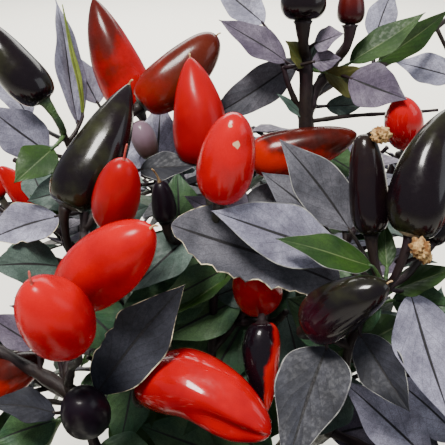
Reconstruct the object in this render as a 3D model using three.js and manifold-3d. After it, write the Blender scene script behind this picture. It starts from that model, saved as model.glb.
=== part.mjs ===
// A chilli pepper plant in fruit, rooted in the ground, in millimetres: +Z up, +X to the right and +Y
// away from the side that it is looked at from. The origin is the middle of the flat cut under the main
// stem.
//
// The main stem forks low down into four limbs, and each limb into boughs. Every bough ends in a shoot,
// which is one solid: a stem that forks, with its leaves and the stalks and cups of its fruit. The shoots
// on the near side are placed by eye, along lines of sight. The others grow by a seeded rule, each in its
// own space.
import * as THREE from 'three';
import { mergeVertices } from 'three/addons/utils/BufferGeometryUtils.js';
import Module from 'manifold-3d';

const wasm = await Module();
wasm.setup();

const UP = new THREE.Vector3(0, 0, 1);
const radians = THREE.MathUtils.degToRad;

// The view of the near side: a square picture, seen from a little above the crown.
const PICTURE = 445; // px, each way
const EYE_TO_CROWN = 274; // mm, from the eye to the middle of what it sees
const CROWN_MIDDLE = new THREE.Vector3(0, -30, 300);
const LOOKING_DOWN = radians(25);
const VIEW_ANGLE = radians(36);
const SIGHT = new THREE.Vector3(0, Math.cos(LOOKING_DOWN), -Math.sin(LOOKING_DOWN));
const PICTURE_UP = new THREE.Vector3(0, Math.sin(LOOKING_DOWN), Math.cos(LOOKING_DOWN));
const EYE = CROWN_MIDDLE.clone().addScaledVector(SIGHT, -EYE_TO_CROWN);
const SPREAD = (2 * Math.tan(VIEW_ANGLE / 2)) / PICTURE; // mm across a pixel, for each mm away

// The point at a pixel of the picture (px across, px down), and so many mm away along the line of sight.
function seen([across, down, away]) {
  const side = (across - PICTURE / 2) * SPREAD * away;
  const rise = (PICTURE / 2 - down) * SPREAD * away;
  return EYE.clone().addScaledVector(SIGHT, away).addScaledVector(PICTURE_UP, rise).setX(side);
}

// Where a point falls in the picture: px across, px down and mm away.
function inPicture(point) {
  const from = point.clone().sub(EYE);
  const away = from.dot(SIGHT);
  const across = PICTURE / 2 + from.x / (SPREAD * away);
  const down = PICTURE / 2 - from.dot(PICTURE_UP) / (SPREAD * away);
  return { across, down, away };
}

// Sizes of the stem and the limbs: radii, from the ground to the shoots.
const STEM_FOOT = 7.5;
const STEM_TOP = 5.2;
const ROOT_FLARE = 4.5; // how far the foot spreads, over the flare's height
const FLARE_HEIGHT = 16;
const SWELLING = { size: 0.9, below: 4, length: 9 }; // of the stem, below its fork
const LIMB_RADII = [4.3, 3.5];
const BOUGH_RADII = [3.2, 2.2];
const SHOOT_RADII = [2.0, 1.3];
const NEAR_STEM_RADII = [2.2, 1.6];
const BARE_FOOT = 0.4; // of a near stem's first stretch, where no twig or leaf joins it
const TWIG_FOOT = { radius: 0.5, share: 0.3 }; // a twig's start, and how soon it has its full size
const CLEARANCE = 0.3; // between one solid and the next
const CALYX_GAP = 0.25; // between a fruit and the leaves round it
const FINEST = 0.12; // detail of a shoot below this is let go
const STEM_SIDES = 12;
const STEM_STEPS = 9;
const LIMB_SIDES = 8;
const BOUGH_SIDES = 6;
const LIMB_STEPS = 3;

// Sizes of leaves and fruit.
const LEAF_LENGTH = 50;
const LEAF_SLIMNESS = 0.52; // width over length
const LEAF_THICKNESS = 1.5;
const LEAF_ARCH = 0.08; // how far the tip bends down, over the length
const LEAF_FOLD = 0.14; // how far the edges rise from the midrib, over the width
const LEAF_WIDEST = 0.42; // where along it a leaf is widest
const LEAF_THICKEST = 0.2; // and where a plain leaf is thickest, so that its root is stout
const BLADE_OUTLINE = [[0.2, 0.8], [0.5, 1], [0.78, 0.55], [1, 0]]; // places along a blade, and widths there
const PETIOLE_RADIUS = 0.9;
const PETIOLE_REACH = 8; // mm behind its blade, from where a petiole looks for its twig
const SKYWARD = 0.35; // how much a near leaf turns up from facing the eye
const STALK_RADII = [1.5, 2.1]; // of a fruit's stalk, at the twig and at the cup
const STALK_REACH = 16; // mm below its fruit, from where a stalk looks for its twig
const STALK_BEND = { down: 0.55, over: 0.3 }; // shares of a stalk: how low it bends, and how far over
const CUP_WIDTH = 0.5; // of the cup that a fruit sits in, over the fruit's width
const CUP_DEPTH = 2.4;
const CUP_FOOT = 0.85; // the cup's width half-way down it, over its width at the fruit
const NECK = 1; // mm, from the cup down to the stalk's full thickness
const SHOULDER = 0.26; // where along it a fruit is widest
const TAPER_CURVE = 1.9; // how long a fruit stays full before it tapers: 1 is a straight cone
const FRUIT_PLACES = [0, 0.1, 0.28, 0.58, 0.86]; // places along a fruit, where it is turned to size
const FRUIT_SIDES = 8;
const SMALL_FRUIT_PLACES = [0, 0.2, 0.65];
const SMALL_FRUIT_SIDES = 5;
const SMALL_FRUIT = { length: 38, width: 17, bluntness: 1.7 };

// A number from 0 to 1 that depends only on its two keys, so that growth is the same each time.
function chance(seed, draw) {
  const wave = Math.sin(seed * 12.9898 + draw * 78.233) * 43758.5453;
  return wave - Math.floor(wave);
}

// The value at a share of the way from one to the other.
function between([from, to], share) {
  return from + (to - from) * share;
}

// A closed three.js geometry as a solid.
function solid(geometry) {
  const bare = geometry.clone();
  bare.deleteAttribute('normal');
  bare.deleteAttribute('uv');
  const merged = mergeVertices(bare, 1e-4);
  const mesh = new wasm.Mesh({
    numProp: 3,
    vertProperties: new Float32Array(merged.attributes.position.array),
    triVerts: new Uint32Array(merged.index.array),
  });
  return new wasm.Manifold(mesh);
}

// A solid as a three.js geometry again.
function geometryOf(manifold) {
  const mesh = manifold.getMesh();
  const geometry = new THREE.BufferGeometry();
  geometry.setAttribute('position', new THREE.BufferAttribute(mesh.vertProperties, 3));
  geometry.setIndex(new THREE.BufferAttribute(mesh.triVerts, 1));
  geometry.computeVertexNormals();
  return geometry;
}

// The largest body of a solid: what a cut leaves loose is dropped.
function wholePiece(manifold) {
  return manifold.decompose().sort((a, b) => b.volume() - a.volume())[0];
}

// Points evenly along a smooth curve through the points.
function smooth(points, steps) {
  return new THREE.CatmullRomCurve3(points, false, 'centripetal').getSpacedPoints(steps);
}

// A cylinder bent through the points, with its radius given at each. Its twin is fattened all over by
// some mm.
function tube(points, radii, sides, fattened = 0) {
  const steps = points.length - 1;
  const cylinder = new THREE.CylinderGeometry(1, 1, 1, sides, steps);
  const ways = points.map((_, i) => {
    const next = points[Math.min(i + 1, steps)];
    return next.clone().sub(points[Math.max(i - 1, 0)]).normalize();
  });
  let across = Math.abs(ways[0].z) > 0.9 ? new THREE.Vector3(1, 0, 0) : UP.clone();
  const frames = ways.map((way) => {
    across = across.clone().addScaledVector(way, -across.dot(way)).normalize();
    return [across, way.clone().cross(across)];
  });
  const position = cylinder.attributes.position;
  for (let i = 0; i < position.count; i++) {
    const ring = Math.round((position.getY(i) + 0.5) * steps);
    const beyond = ring === 0 ? -fattened : ring === steps ? fattened : 0;
    const radius = radii[ring] + fattened;
    const at = points[ring]
      .clone()
      .addScaledVector(ways[ring], beyond)
      .addScaledVector(frames[ring][0], position.getZ(i) * radius)
      .addScaledVector(frames[ring][1], position.getX(i) * radius);
    position.setXYZ(i, at.x, at.y, at.z);
  }
  return solid(cylinder);
}

// Radii that taper evenly from one end to the other, over so many points.
function taper(radii, count) {
  return Array.from({ length: count }, (_, i) => between(radii, i / (count - 1)));
}

// A leaf from its root to its tip, with its upper face turned to the way that it faces: an octahedron
// drawn out to the leaf's outline, folded along the midrib and drooping at its tip.
function plainLeaf(root, tip, width, facing) {
  const along = tip.clone().sub(root);
  const length = along.length();
  along.normalize();
  const upper = facing.clone().addScaledVector(along, -facing.dot(along)).normalize();
  const across = along.clone().cross(upper);
  const shape = new THREE.OctahedronGeometry(1);
  const position = shape.attributes.position;
  for (let i = 0; i < position.count; i++) {
    const [x, y, z] = [position.getX(i), position.getY(i), position.getZ(i)];
    const reach = Math.abs(x) > 0.5 ? LEAF_WIDEST : Math.abs(z) > 0.5 ? LEAF_THICKEST : (y + 1) / 2;
    const at = root
      .clone()
      .addScaledVector(along, reach * length)
      .addScaledVector(across, (x * width) / 2)
      .addScaledVector(upper, (z * LEAF_THICKNESS) / 2 + (Math.abs(x) * width * LEAF_FOLD) / 2);
    position.setXYZ(i, at.x, at.y, at.z);
  }
  return solid(shape);
}

// A leaf with its petiole, from where that joins the twig, by the foot of the blade, to the tip. Both are
// rings of four corners, flattened along the blade.
function leafWithPetiole(join, foot, tip, width, facing) {
  const blade = tip.clone().sub(foot);
  const length = blade.length();
  blade.normalize();
  const upper = facing.clone().addScaledVector(blade, -facing.dot(blade)).normalize();
  const across = blade.clone().cross(upper);
  const bend = new THREE.Quaternion().setFromUnitVectors(blade, foot.clone().sub(join).normalize());
  const halfBend = new THREE.Quaternion().slerp(bend, 0.5);
  const rings = [
    { at: join, half: PETIOLE_RADIUS, thick: PETIOLE_RADIUS, fold: 0, turn: bend },
    { at: foot, half: PETIOLE_RADIUS, thick: PETIOLE_RADIUS, fold: 0, turn: halfBend },
    ...BLADE_OUTLINE.map(([reach, wide]) => {
      const droop = reach * reach * LEAF_ARCH * length;
      return {
        at: foot.clone().addScaledVector(blade, reach * length).addScaledVector(upper, -droop),
        half: (wide * width) / 2,
        thick: reach < 1 ? LEAF_THICKNESS / 2 : 0,
        fold: LEAF_FOLD,
      };
    }),
  ];
  const shape = new THREE.CylinderGeometry(1, 1, 1, 4, rings.length - 1);
  const position = shape.attributes.position;
  for (let i = 0; i < position.count; i++) {
    const { at, half, thick, fold, turn } = rings[Math.round((position.getY(i) + 0.5) * (rings.length - 1))];
    const [x, z] = [position.getX(i), position.getZ(i)];
    const rise = z * thick + Math.abs(x) * half * fold;
    const off = across.clone().multiplyScalar(x * half).addScaledVector(upper, rise);
    if (turn) off.applyQuaternion(turn);
    position.setXYZ(i, at.x + off.x, at.y + off.y, at.z + off.z);
  }
  return solid(shape);
}

// How wide a chilli is along its length, from its base at 0 to its tip at 1, as a share of its widest. A
// round shoulder runs into a long taper, and bluntness above 1 keeps the fruit full until near its tip.
function chilliOutline(along, bluntness, broad) {
  const shoulder = Math.sqrt(1 - (1 - Math.min(along / SHOULDER, 1)) ** 2);
  const tapered = (1 - Math.max(0, (along - SHOULDER) / (1 - SHOULDER)) ** TAPER_CURVE) ** (1 / bluntness);
  return (broad + (1 - broad) * shoulder) * tapered;
}

// A chilli turned on a lathe, from the flat of its base to its tip.
function chilli(base, tip, width, bluntness, broad, places, sides, extra = 0) {
  const length = base.distanceTo(tip);
  const outline = places.map((along) => {
    const radius = (width / 2) * chilliOutline(along, bluntness, broad) + extra;
    return new THREE.Vector2(radius, along * length - (along === 0 ? extra : 0));
  });
  outline.unshift(new THREE.Vector2(0, -extra));
  outline.push(new THREE.Vector2(0, length + extra));
  const turn = new THREE.Quaternion().setFromUnitVectors(
    new THREE.Vector3(0, 1, 0),
    tip.clone().sub(base).normalize(),
  );
  const turned = new THREE.LatheGeometry(outline, sides).applyQuaternion(turn);
  return solid(turned.translate(base.x, base.y, base.z));
}

// A fruit's stalk, bent from the twig up to the fruit's base, where it widens to the cup that the base
// sits on.
function stalkAndCup(from, base, tip, width) {
  const axis = tip.clone().sub(base).normalize();
  const below = (distance) => base.clone().addScaledVector(axis, -distance);
  const reach = from.distanceTo(base);
  const bend = below(STALK_BEND.down * reach).lerp(from, STALK_BEND.over);
  const cup = (width * CUP_WIDTH) / 2;
  const heights = [CUP_DEPTH + CLEARANCE + NECK, CUP_DEPTH / 2 + CLEARANCE, CLEARANCE];
  const rings = [from, bend, ...heights.map(below)];
  return tube(rings, [STALK_RADII[0], STALK_RADII[0], STALK_RADII[1], cup * CUP_FOOT, cup], 4);
}

// The fruit that show on the near side, each a piece of its own, by the shoot that carries it: where its
// base and its tip are seen, its width in mm, how full it is towards its tip, and for some how broad it
// is at its base and where its stalk comes from.
const CHILLIES = {
  shoot_left: {
    black_far_left: { base: [44, 100, 268], tip: [-18, 20, 262], width: 17.5, blunt: 1.6 },
    black_left: { base: [67, 206, 248], tip: [130, 83, 256], width: 22, blunt: 1.2 },
    red_top_left: { base: [140, 112, 306], tip: [93, -2, 298], width: 22.5, blunt: 1.3 },
    brown_top: { base: [142, 104, 281], tip: [217, 36, 280], width: 21, blunt: 2.2 },
    red_left: { base: [70, 293, 244], tip: [151, 231, 220], width: 21.5, blunt: 1.7 },
    red_upright: {
      base: [111, 225, 243], tip: [124, 160, 226], width: 16.5, blunt: 2.2, from: [84, 232, 284],
    },
    red_low_left: { base: [66, 340, 226], tip: [37, 284, 202], width: 24, blunt: 1.8 },
    black_bud: { base: [90, 424, 250], tip: [80, 398, 232], width: 17.5, blunt: 2.6 },
    red_far_left: { base: [-25, 392, 276], tip: [44, 356, 270], width: 19, blunt: 1.6 },
  },
  shoot_centre: {
    red_centre: { base: [203, 163, 268], tip: [190, 57, 262], width: 21.5, blunt: 1.4 },
    red_scarred: { base: [220, 198, 246], tip: [236, 113, 230], width: 20.5, blunt: 2.0 },
    orange_far: { base: [252, 160, 292], tip: [357, 134, 286], width: 20, blunt: 1.7 },
    black_young: { base: [166, 221, 264], tip: [160, 181, 258], width: 9.5, blunt: 2.6 },
    red_centre_low: { base: [256, 306, 284], tip: [242, 279, 262], width: 19.5, blunt: 2.4 },
    red_large: { base: [150, 374, 262], tip: [272, 433, 240], width: 29, blunt: 1.6, broad: 0.7 },
    turning_low: {
      base: [262, 323, 258], tip: [267, 412, 256], width: 14.5, blunt: 1.3, from: [286, 312, 276],
    },
  },
  shoot_right: {
    black_slim: { base: [371, 233, 252], tip: [364, 134, 248], width: 14.5, blunt: 3.0 },
    black_right: { base: [411, 235, 242], tip: [450, 108, 242], width: 22, blunt: 1.5 },
    black_lying: { base: [309, 327, 252], tip: [388, 284, 232], width: 20, blunt: 1.9 },
    black_edge: { base: [430, 242, 260], tip: [458, 192, 266], width: 11, blunt: 2.0 },
  },
  shoot_top_right: {
    black_top: { base: [303, 20, 276], tip: [303, -42, 270], width: 18.5, blunt: 1.8 },
    turning_top: { base: [350, 24, 284], tip: [352, -18, 280], width: 11.5, blunt: 2.0 },
    red_small: { base: [405, 144, 286], tip: [402, 98, 270], width: 16, blunt: 1.7 },
  },
};
const BASE_BROAD = 0.42; // how broad a base is over the fruit's widest, where nothing else is given

// The shoots that show on the near side. Twigs are lines of points from the bough's end outwards. A leaf
// runs from its root to its tip, is so many mm wide, and is turned about its midrib by some degrees from
// facing the eye.
const NEAR_SHOOTS = {
  shoot_left: {
    twigs: [
      [[96, 448, 272], [80, 405, 264], [68, 383, 256], [72, 335, 268], [74, 290, 272]],
      [[68, 383, 256], [72, 366, 242]],
      [[74, 290, 272], [70, 250, 258]],
      [[74, 290, 272], [84, 230, 286], [78, 170, 284], [63, 132, 276]],
      [[84, 230, 286], [118, 180, 300], [136, 140, 308]],
      [[80, 405, 264], [30, 402, 284], [-30, 412, 296]],
    ],
    leaves: [
      { root: [97, 393, 250], tip: [183, 287, 236], width: 24, turn: 12 },
      { root: [136, 178, 258], tip: [197, 166, 252], width: 14, turn: -35 },
      { root: [78, 124, 284], tip: [64, -4, 290], width: 18, turn: 58 },
      { root: [98, 104, 312], tip: [70, 50, 316], width: 17, turn: 20 },
      { root: [48, 152, 276], tip: [-14, 106, 264], width: 19, turn: -15 },
      { root: [46, 156, 268], tip: [16, 178, 254], width: 14, turn: 30 },
      { root: [58, 216, 270], tip: [-16, 236, 252], width: 21, turn: 25 },
      { root: [60, 266, 268], tip: [-8, 264, 248], width: 20, turn: 0 },
      { root: [30, 118, 296], tip: [-10, 62, 300], width: 15, turn: 20 },
      { root: [56, 413, 256], tip: [-10, 400, 244], width: 15, turn: 25 },
      { root: [56, 420, 270], tip: [-8, 442, 256], width: 17, turn: -10 },
      { root: [36, 346, 264], tip: [-12, 314, 256], width: 15, turn: 20 },
      { root: [90, 245, 290], tip: [150, 285, 282], width: 20, turn: -10 },
    ],
  },
  shoot_centre: {
    twigs: [
      [[205, 425, 304], [212, 350, 300], [214, 280, 294], [214, 238, 284], [214, 215, 272]],
      [[214, 280, 294], [238, 215, 304], [244, 180, 304]],
      [[214, 238, 284], [185, 245, 278], [168, 238, 272]],
      [[212, 350, 300], [236, 322, 300], [252, 308, 296]],
      [[236, 322, 300], [272, 322, 292], [286, 312, 276]],
      [[208, 400, 303], [168, 395, 292], [128, 368, 282]],
    ],
    leaves: [
      { root: [196, 232, 278], tip: [124, 290, 262], width: 21, turn: 20 },
      { root: [180, 240, 290], tip: [178, 170, 290], width: 20, turn: 10 },
      { root: [262, 236, 290], tip: [186, 196, 274], width: 17, turn: -10 },
      { root: [240, 300, 300], tip: [158, 338, 288], width: 25, turn: 15 },
      { root: [226, 268, 292], tip: [156, 306, 278], width: 19, turn: -40 },
      { root: [215, 452, 294], tip: [140, 424, 286], width: 20, turn: 0 },
      { root: [112, 446, 288], tip: [158, 398, 290], width: 18, turn: 15 },
      { root: [262, 352, 306], tip: [290, 268, 294], width: 20, turn: -15 },
      { root: [198, 240, 300], tip: [150, 132, 312], width: 19, turn: 30 },
    ],
  },
  shoot_right: {
    twigs: [
      [[330, 432, 284], [342, 385, 276], [350, 345, 268], [366, 312, 262], [384, 288, 254]],
      [[350, 345, 268], [328, 338, 264], [320, 336, 262]],
      [[330, 432, 284], [380, 452, 286], [436, 468, 286]],
    ],
    leaves: [
      { root: [327, 347, 254], tip: [283, 478, 230], width: 26, turn: -8 },
      { root: [360, 334, 256], tip: [409, 413, 242], width: 18, turn: 20 },
      { root: [410, 294, 258], tip: [456, 424, 240], width: 27, turn: -20 },
      { root: [344, 259, 256], tip: [216, 207, 236], width: 24, turn: 10 },
      { root: [350, 230, 264], tip: [280, 139, 256], width: 20, turn: -8 },
      { root: [372, 266, 244], tip: [280, 234, 234], width: 14, turn: 20 },
      { root: [387, 268, 254], tip: [386, 222, 258], width: 7.5, turn: 0 },
      { root: [340, 284, 266], tip: [178, 220, 241], width: 23, turn: 12 },
      { root: [322, 222, 284], tip: [264, 170, 278], width: 18, turn: 15 },
      { root: [392, 291, 260], tip: [456, 266, 252], width: 14, turn: -25 },
      { root: [392, 300, 266], tip: [458, 306, 256], width: 17, turn: 10 },
      { root: [430, 462, 274], tip: [344, 380, 268], width: 22, turn: 0 },
      { root: [462, 440, 282], tip: [392, 372, 278], width: 20, turn: 10 },
    ],
  },
  shoot_top_right: {
    twigs: [
      [[322, 240, 322], [312, 180, 308], [306, 122, 296], [306, 70, 290], [304, 46, 286]],
      [[306, 122, 296], [350, 116, 298], [415, 112, 298], [438, 110, 298]],
      [[306, 70, 290], [334, 60, 292], [348, 46, 290]],
      [[306, 100, 294], [345, 76, 304], [388, 62, 310], [446, 20, 318]],
    ],
    leaves: [
      { root: [286, 62, 290], tip: [221, 17, 282], width: 15, turn: 20 },
      { root: [298, 60, 302], tip: [204, 122, 296], width: 17, turn: -25 },
      { root: [264, 24, 316], tip: [214, -18, 322], width: 17, turn: 10 },
      { root: [350, 63, 294], tip: [424, 9, 284], width: 15, turn: -20 },
      { root: [378, 62, 308], tip: [452, 10, 300], width: 13, turn: 35 },
      { root: [392, 59, 288], tip: [405, 98, 262], width: 22, turn: 0 },
      { root: [329, 68, 290], tip: [370, 92, 280], width: 16, turn: 35 },
      { root: [314, 44, 282], tip: [342, 32, 272], width: 12, turn: -20 },
      { root: [312, 62, 282], tip: [341, 58, 276], width: 9, turn: 10 },
      { root: [304, 66, 288], tip: [288, 40, 278], width: 12, turn: 40 },
      { root: [326, 106, 300], tip: [366, 103, 296], width: 9, turn: 20 },
      { root: [456, 78, 322], tip: [396, 60, 326], width: 17, turn: 15 },
      { root: [374, 42, 310], tip: [394, -14, 308], width: 14, turn: 0 },
    ],
  },
};

// The main stem, the limbs and the boughs: a limb runs from the stem's fork, and a bough from its limb's end.
const FIRST_FORK = new THREE.Vector3(3, -2, 118);
const STEM_LINE = [[0, 0, 0], [-1, 1, 40], [2, 0, 84]].map((at) => new THREE.Vector3(...at));
STEM_LINE.push(FIRST_FORK);
const LIMBS = {
  limb_front: { from: FIRST_FORK, to: new THREE.Vector3(-7, -34, 168) },
  limb_left: { from: FIRST_FORK, to: new THREE.Vector3(-36, 8, 164) },
  limb_right: { from: FIRST_FORK, to: new THREE.Vector3(36, -6, 170) },
  limb_back: { from: FIRST_FORK, to: new THREE.Vector3(3, 36, 166) },
};
const BOUGHS = {
  bough_front_left: { limb: 'limb_front', to: seen(NEAR_SHOOTS.shoot_left.twigs[0][0]) },
  bough_front_centre: { limb: 'limb_front', to: seen(NEAR_SHOOTS.shoot_centre.twigs[0][0]) },
  bough_front_right: { limb: 'limb_right', to: seen(NEAR_SHOOTS.shoot_right.twigs[0][0]) },
  bough_top_right: { limb: 'limb_right', to: seen(NEAR_SHOOTS.shoot_top_right.twigs[0][0]) },
  bough_low_left: { limb: 'limb_front', to: new THREE.Vector3(-68, -70, 174) },
  bough_low_right: { limb: 'limb_right', to: new THREE.Vector3(68, -66, 176) },
  bough_left: { limb: 'limb_left', to: new THREE.Vector3(-86, -10, 204) },
  bough_back_left: { limb: 'limb_left', to: new THREE.Vector3(-62, 56, 212) },
  bough_right: { limb: 'limb_right', to: new THREE.Vector3(86, -8, 204) },
  bough_top_back: { limb: 'limb_back', to: new THREE.Vector3(-6, 36, 240) },
  bough_back_right: { limb: 'limb_back', to: new THREE.Vector3(60, 58, 212) },
  bough_back: { limb: 'limb_back', to: new THREE.Vector3(-4, 86, 206) },
  bough_low_front: { limb: 'limb_front', to: new THREE.Vector3(-10, -78, 170) },
  bough_mid_left: { limb: 'limb_left', to: new THREE.Vector3(-40, -6, 196) },
  bough_mid_right: { limb: 'limb_right', to: new THREE.Vector3(46, 6, 200) },
};
const BOUGH_BOW = 0.1; // a bough bows outwards and up by this share of its length

// The shoots that grow by the rule, one at the end of each bough that has no near shoot.
const GROWN_SHOOTS = {
  shoot_low_left: { bough: 'bough_low_left', seed: 3, lean: [-0.7, -0.6, 0.35] },
  shoot_low_right: { bough: 'bough_low_right', seed: 8, lean: [0.7, -0.6, 0.35] },
  shoot_far_left: { bough: 'bough_left', seed: 12, lean: [-0.75, -0.1, 0.6] },
  shoot_back_left: { bough: 'bough_back_left', seed: 17, lean: [-0.55, 0.5, 0.65] },
  shoot_far_right: { bough: 'bough_right', seed: 23, lean: [0.75, -0.1, 0.6] },
  shoot_top_back: { bough: 'bough_top_back', seed: 29, lean: [-0.1, 0.1, 1] },
  shoot_back_right: { bough: 'bough_back_right', seed: 35, lean: [0.55, 0.5, 0.65] },
  shoot_back: { bough: 'bough_back', seed: 41, lean: [0, 0.75, 0.65] },
  shoot_low_front: { bough: 'bough_low_front', seed: 58, lean: [0, -0.6, 0.3] },
  shoot_mid_left: { bough: 'bough_mid_left', seed: 46, lean: [0, 0.1, 1] },
  shoot_mid_right: { bough: 'bough_mid_right', seed: 52, lean: [0.1, 0.1, 1] },
};
const INTERNODE = 30; // mm, of a shoot's first stretch
const SHORTER = 0.84; // each stretch against the one before
const FORK_ANGLE = radians(33);
const RISE = 0.16; // how much each stretch turns up
const FORKS = 3; // forks before a twig ends
const SIDE_START = { radius: 0.3, length: 2 }; // where a side twig leaves its fork
const LEAVES_AT_FORK = 2;
const LEAVES_AT_TIP = 4;
const ROOT_STEP = 0.26; // from one leaf to the next down a twig, over its length
const OUTWARD = 0.35; // how much a leaf turns away from the crown's middle
const SECOND_TRY = 0.62; // of its length, where a twig or a leaf finds no room at full length
const LEAF_SPREAD = [50, 85]; // degrees, from the twig to a leaf
const LEAF_SUNK = 0.5; // mm, from a twig's middle to the root of a leaf within it
const LEAF_TURN = 1.2; // radians, the most that a leaf turns on round its twig by chance
const FIRST_LEAF = 0.04; // from a twig's end to its first leaf, over the twig's length
const LEAF_DROOP = [0.15, 0.45]; // how much a leaf's way sinks, least and most
const LEAF_SIZES = [0.75, 1.15]; // of LEAF_LENGTH, least and most
const LEAF_FREE = 0.14; // of a leaf's length, from its root, is left out where crossings are looked for
const LEAF_ROOM = 1; // mm, from a leaf's corners to the edge of its shoot's space
const TWIG_ROOM = 2; // mm, from a twig's end to that edge
const FRUIT_ROOM = 8; // mm, from a fruit's middle to a leaf's corners
const MOST_FRUIT = 2; // on one grown shoot
const FRUIT_LEAN = { out: 0.45, along: 0.4 }; // of a fruit from upright: to a side, and along its twig
const FRUIT_SIZES = [0.8, 1.15]; // of SMALL_FRUIT, least and most
const FRUIT_ABOVE_TWIG = 13; // mm, from its twig's end up to a fruit's base
const FRUIT_MARGIN = 1; // mm round a fruit, from the edge of its shoot's space and from other fruit
const FRUIT_ABOVE = 35; // mm, that a fruit may rise above the dome
const GOLDEN_ANGLE = radians(137.5);
const CENTRE_AHEAD = 45; // mm, from a shoot's foot to the middle of its space
const SKYLINE = 122; // px down the picture, above which nothing shows behind the near shoots
const BEHIND = 304; // mm away: within the picture, the rule grows only behind this
const CROWN_HEART = new THREE.Vector3(0, 0, 190);
const LOWEST_LEAF = 92; // mm above the ground
const DOME_TOP = 338; // mm above the ground, of the grown shoots in the crown's middle
const DOME_FALL = 26; // mm lower at DOME_RADIUS from the middle, and four times that at twice as far
const DOME_RADIUS = 100;
const LIMB_ROOM = 4.5; // mm, from the middle of a limb to its skin and a little more

const shootFoot = (name) => BOUGHS[GROWN_SHOOTS[name].bough].to;
const shootLean = (name) => new THREE.Vector3(...GROWN_SHOOTS[name].lean).normalize();
const shootCentre = (name) => shootFoot(name).clone().addScaledVector(shootLean(name), CENTRE_AHEAD);

function limbLine(from, to) {
  const outwards = new THREE.Vector3(to.x - from.x, to.y - from.y, 0);
  const middle = from.clone().lerp(to, 0.5).addScaledVector(outwards, BOUGH_BOW);
  return [from, middle, to];
}

const limbPieces = [
  ...Object.values(LIMBS).map(({ from, to }) => limbLine(from, to)),
  ...Object.values(BOUGHS).map(({ limb, to }) => limbLine(LIMBS[limb].to, to)),
].flatMap(([a, b, c]) => [[a, b], [b, c]]);

function distanceToPiece(point, [a, b]) {
  return new THREE.Line3(a, b).closestPointToPoint(point, true, new THREE.Vector3()).distanceTo(point);
}

// How far a point is inside the space of a grown shoot, in mm, or below zero where it is outside: on its
// own side of each neighbour, under the dome, clear of the limbs, and out of the near shoots' part of the
// picture.
function roomAt(point, name, above = 0) {
  const own = shootCentre(name);
  const dome = DOME_TOP - DOME_FALL * (Math.hypot(point.x, point.y) / DOME_RADIUS) ** 2;
  let room = Math.min(point.z - LOWEST_LEAF, dome + above - point.z);
  for (const other of Object.keys(GROWN_SHOOTS)) {
    if (other === name) continue;
    const theirs = shootCentre(other);
    const halfWay = own.clone().lerp(theirs, 0.5);
    room = Math.min(room, point.clone().sub(halfWay).dot(own.clone().sub(theirs).normalize()));
  }
  for (const piece of limbPieces) room = Math.min(room, distanceToPiece(point, piece) - LIMB_ROOM);
  const { across, down, away } = inPicture(point);
  const outside = Math.max(-across, across - PICTURE, down - PICTURE) * SPREAD * away;
  const behind = Math.min(away - BEHIND, (down - SKYLINE) * SPREAD * away);
  return Math.min(room, Math.max(outside, behind));
}

// One stretch of a grown shoot, from a fork to the next, and the stretches beyond. Stretches are numbered
// as in a family tree: number n forks into 2n and 2n + 1.
function growTwigs(name, from, along, length, number, fork, twigs) {
  const key = GROWN_SHOOTS[name].seed * 100 + number;
  const to = [1, SECOND_TRY]
    .map((share) => from.clone().addScaledVector(along, length * share))
    .find((end) => number === 1 || roomAt(end, name) > TWIG_ROOM);
  if (!to) return;
  const side = UP.clone().cross(along).normalize();
  twigs.push({ from, to, along, side, key, fork, number });
  if (fork === FORKS) return;
  const plane = side.clone().applyAxisAngle(along, number * GOLDEN_ANGLE + chance(key, 50));
  for (const [hand, child] of [[-1, 2 * number], [1, 2 * number + 1]]) {
    const way = along.clone().multiplyScalar(Math.cos(FORK_ANGLE));
    way.addScaledVector(plane, hand * Math.sin(FORK_ANGLE)).addScaledVector(UP, RISE).normalize();
    growTwigs(name, to, way, length * SHORTER, child, fork + 1, twigs);
  }
}

// The fruit of a grown shoot, which stand upright at its tips and forks.
function growFruit(name, twigs) {
  const fruit = [];
  for (const { to, along, side, key, fork } of [...twigs].reverse()) {
    if (fork < 1 || fruit.length === MOST_FRUIT) break;
    const out = side.clone().applyAxisAngle(along, chance(key, 41) * 2 * Math.PI);
    const rise = out.multiplyScalar(FRUIT_LEAN.out).add(UP).addScaledVector(along, FRUIT_LEAN.along);
    rise.normalize();
    const size = between(FRUIT_SIZES, chance(key, 42));
    const base = to.clone().addScaledVector(rise, FRUIT_ABOVE_TWIG);
    const tip = base.clone().addScaledVector(rise, SMALL_FRUIT.length * size);
    const need = (SMALL_FRUIT.width * size) / 2 + FRUIT_MARGIN;
    if (roomAt(base, name, FRUIT_ABOVE) < need || roomAt(tip, name, FRUIT_ABOVE) < need) continue;
    if (fruit.every((other) => distanceToPiece(tip, [other.base, other.tip]) > 2 * need)) {
      fruit.push({ from: to, base, tip, size });
    }
  }
  return fruit;
}

// The corners of a leaf taken as a flat kite, a little out from its root: root, edge, tip and edge.
function kite({ root, tip, way }) {
  const across = way.clone().cross(UP).normalize();
  const length = root.distanceTo(tip);
  const middle = root.clone().lerp(tip, LEAF_WIDEST);
  const halfWidth = (length * LEAF_SLIMNESS) / 2;
  return [
    root.clone().lerp(tip, LEAF_FREE),
    middle.clone().addScaledVector(across, halfWidth),
    tip,
    middle.clone().addScaledVector(across, -halfWidth),
  ];
}

function pieceMeets([a, b], [root, left, tip, right]) {
  const length = a.distanceTo(b);
  const ray = new THREE.Ray(a, b.clone().sub(a).divideScalar(length));
  const hit = new THREE.Vector3();
  return [[root, left, tip], [root, tip, right]].some(
    ([p, q, r]) => ray.intersectTriangle(p, q, r, false, hit) && hit.distanceTo(a) <= length,
  );
}

function kitesMeet(one, other) {
  const outline = (corners) => corners.map((corner, i) => [corner, corners[(i + 1) % 4]]);
  return (
    outline(one).some((edge) => pieceMeets(edge, other)) ||
    outline(other).some((edge) => pieceMeets(edge, one))
  );
}

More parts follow.
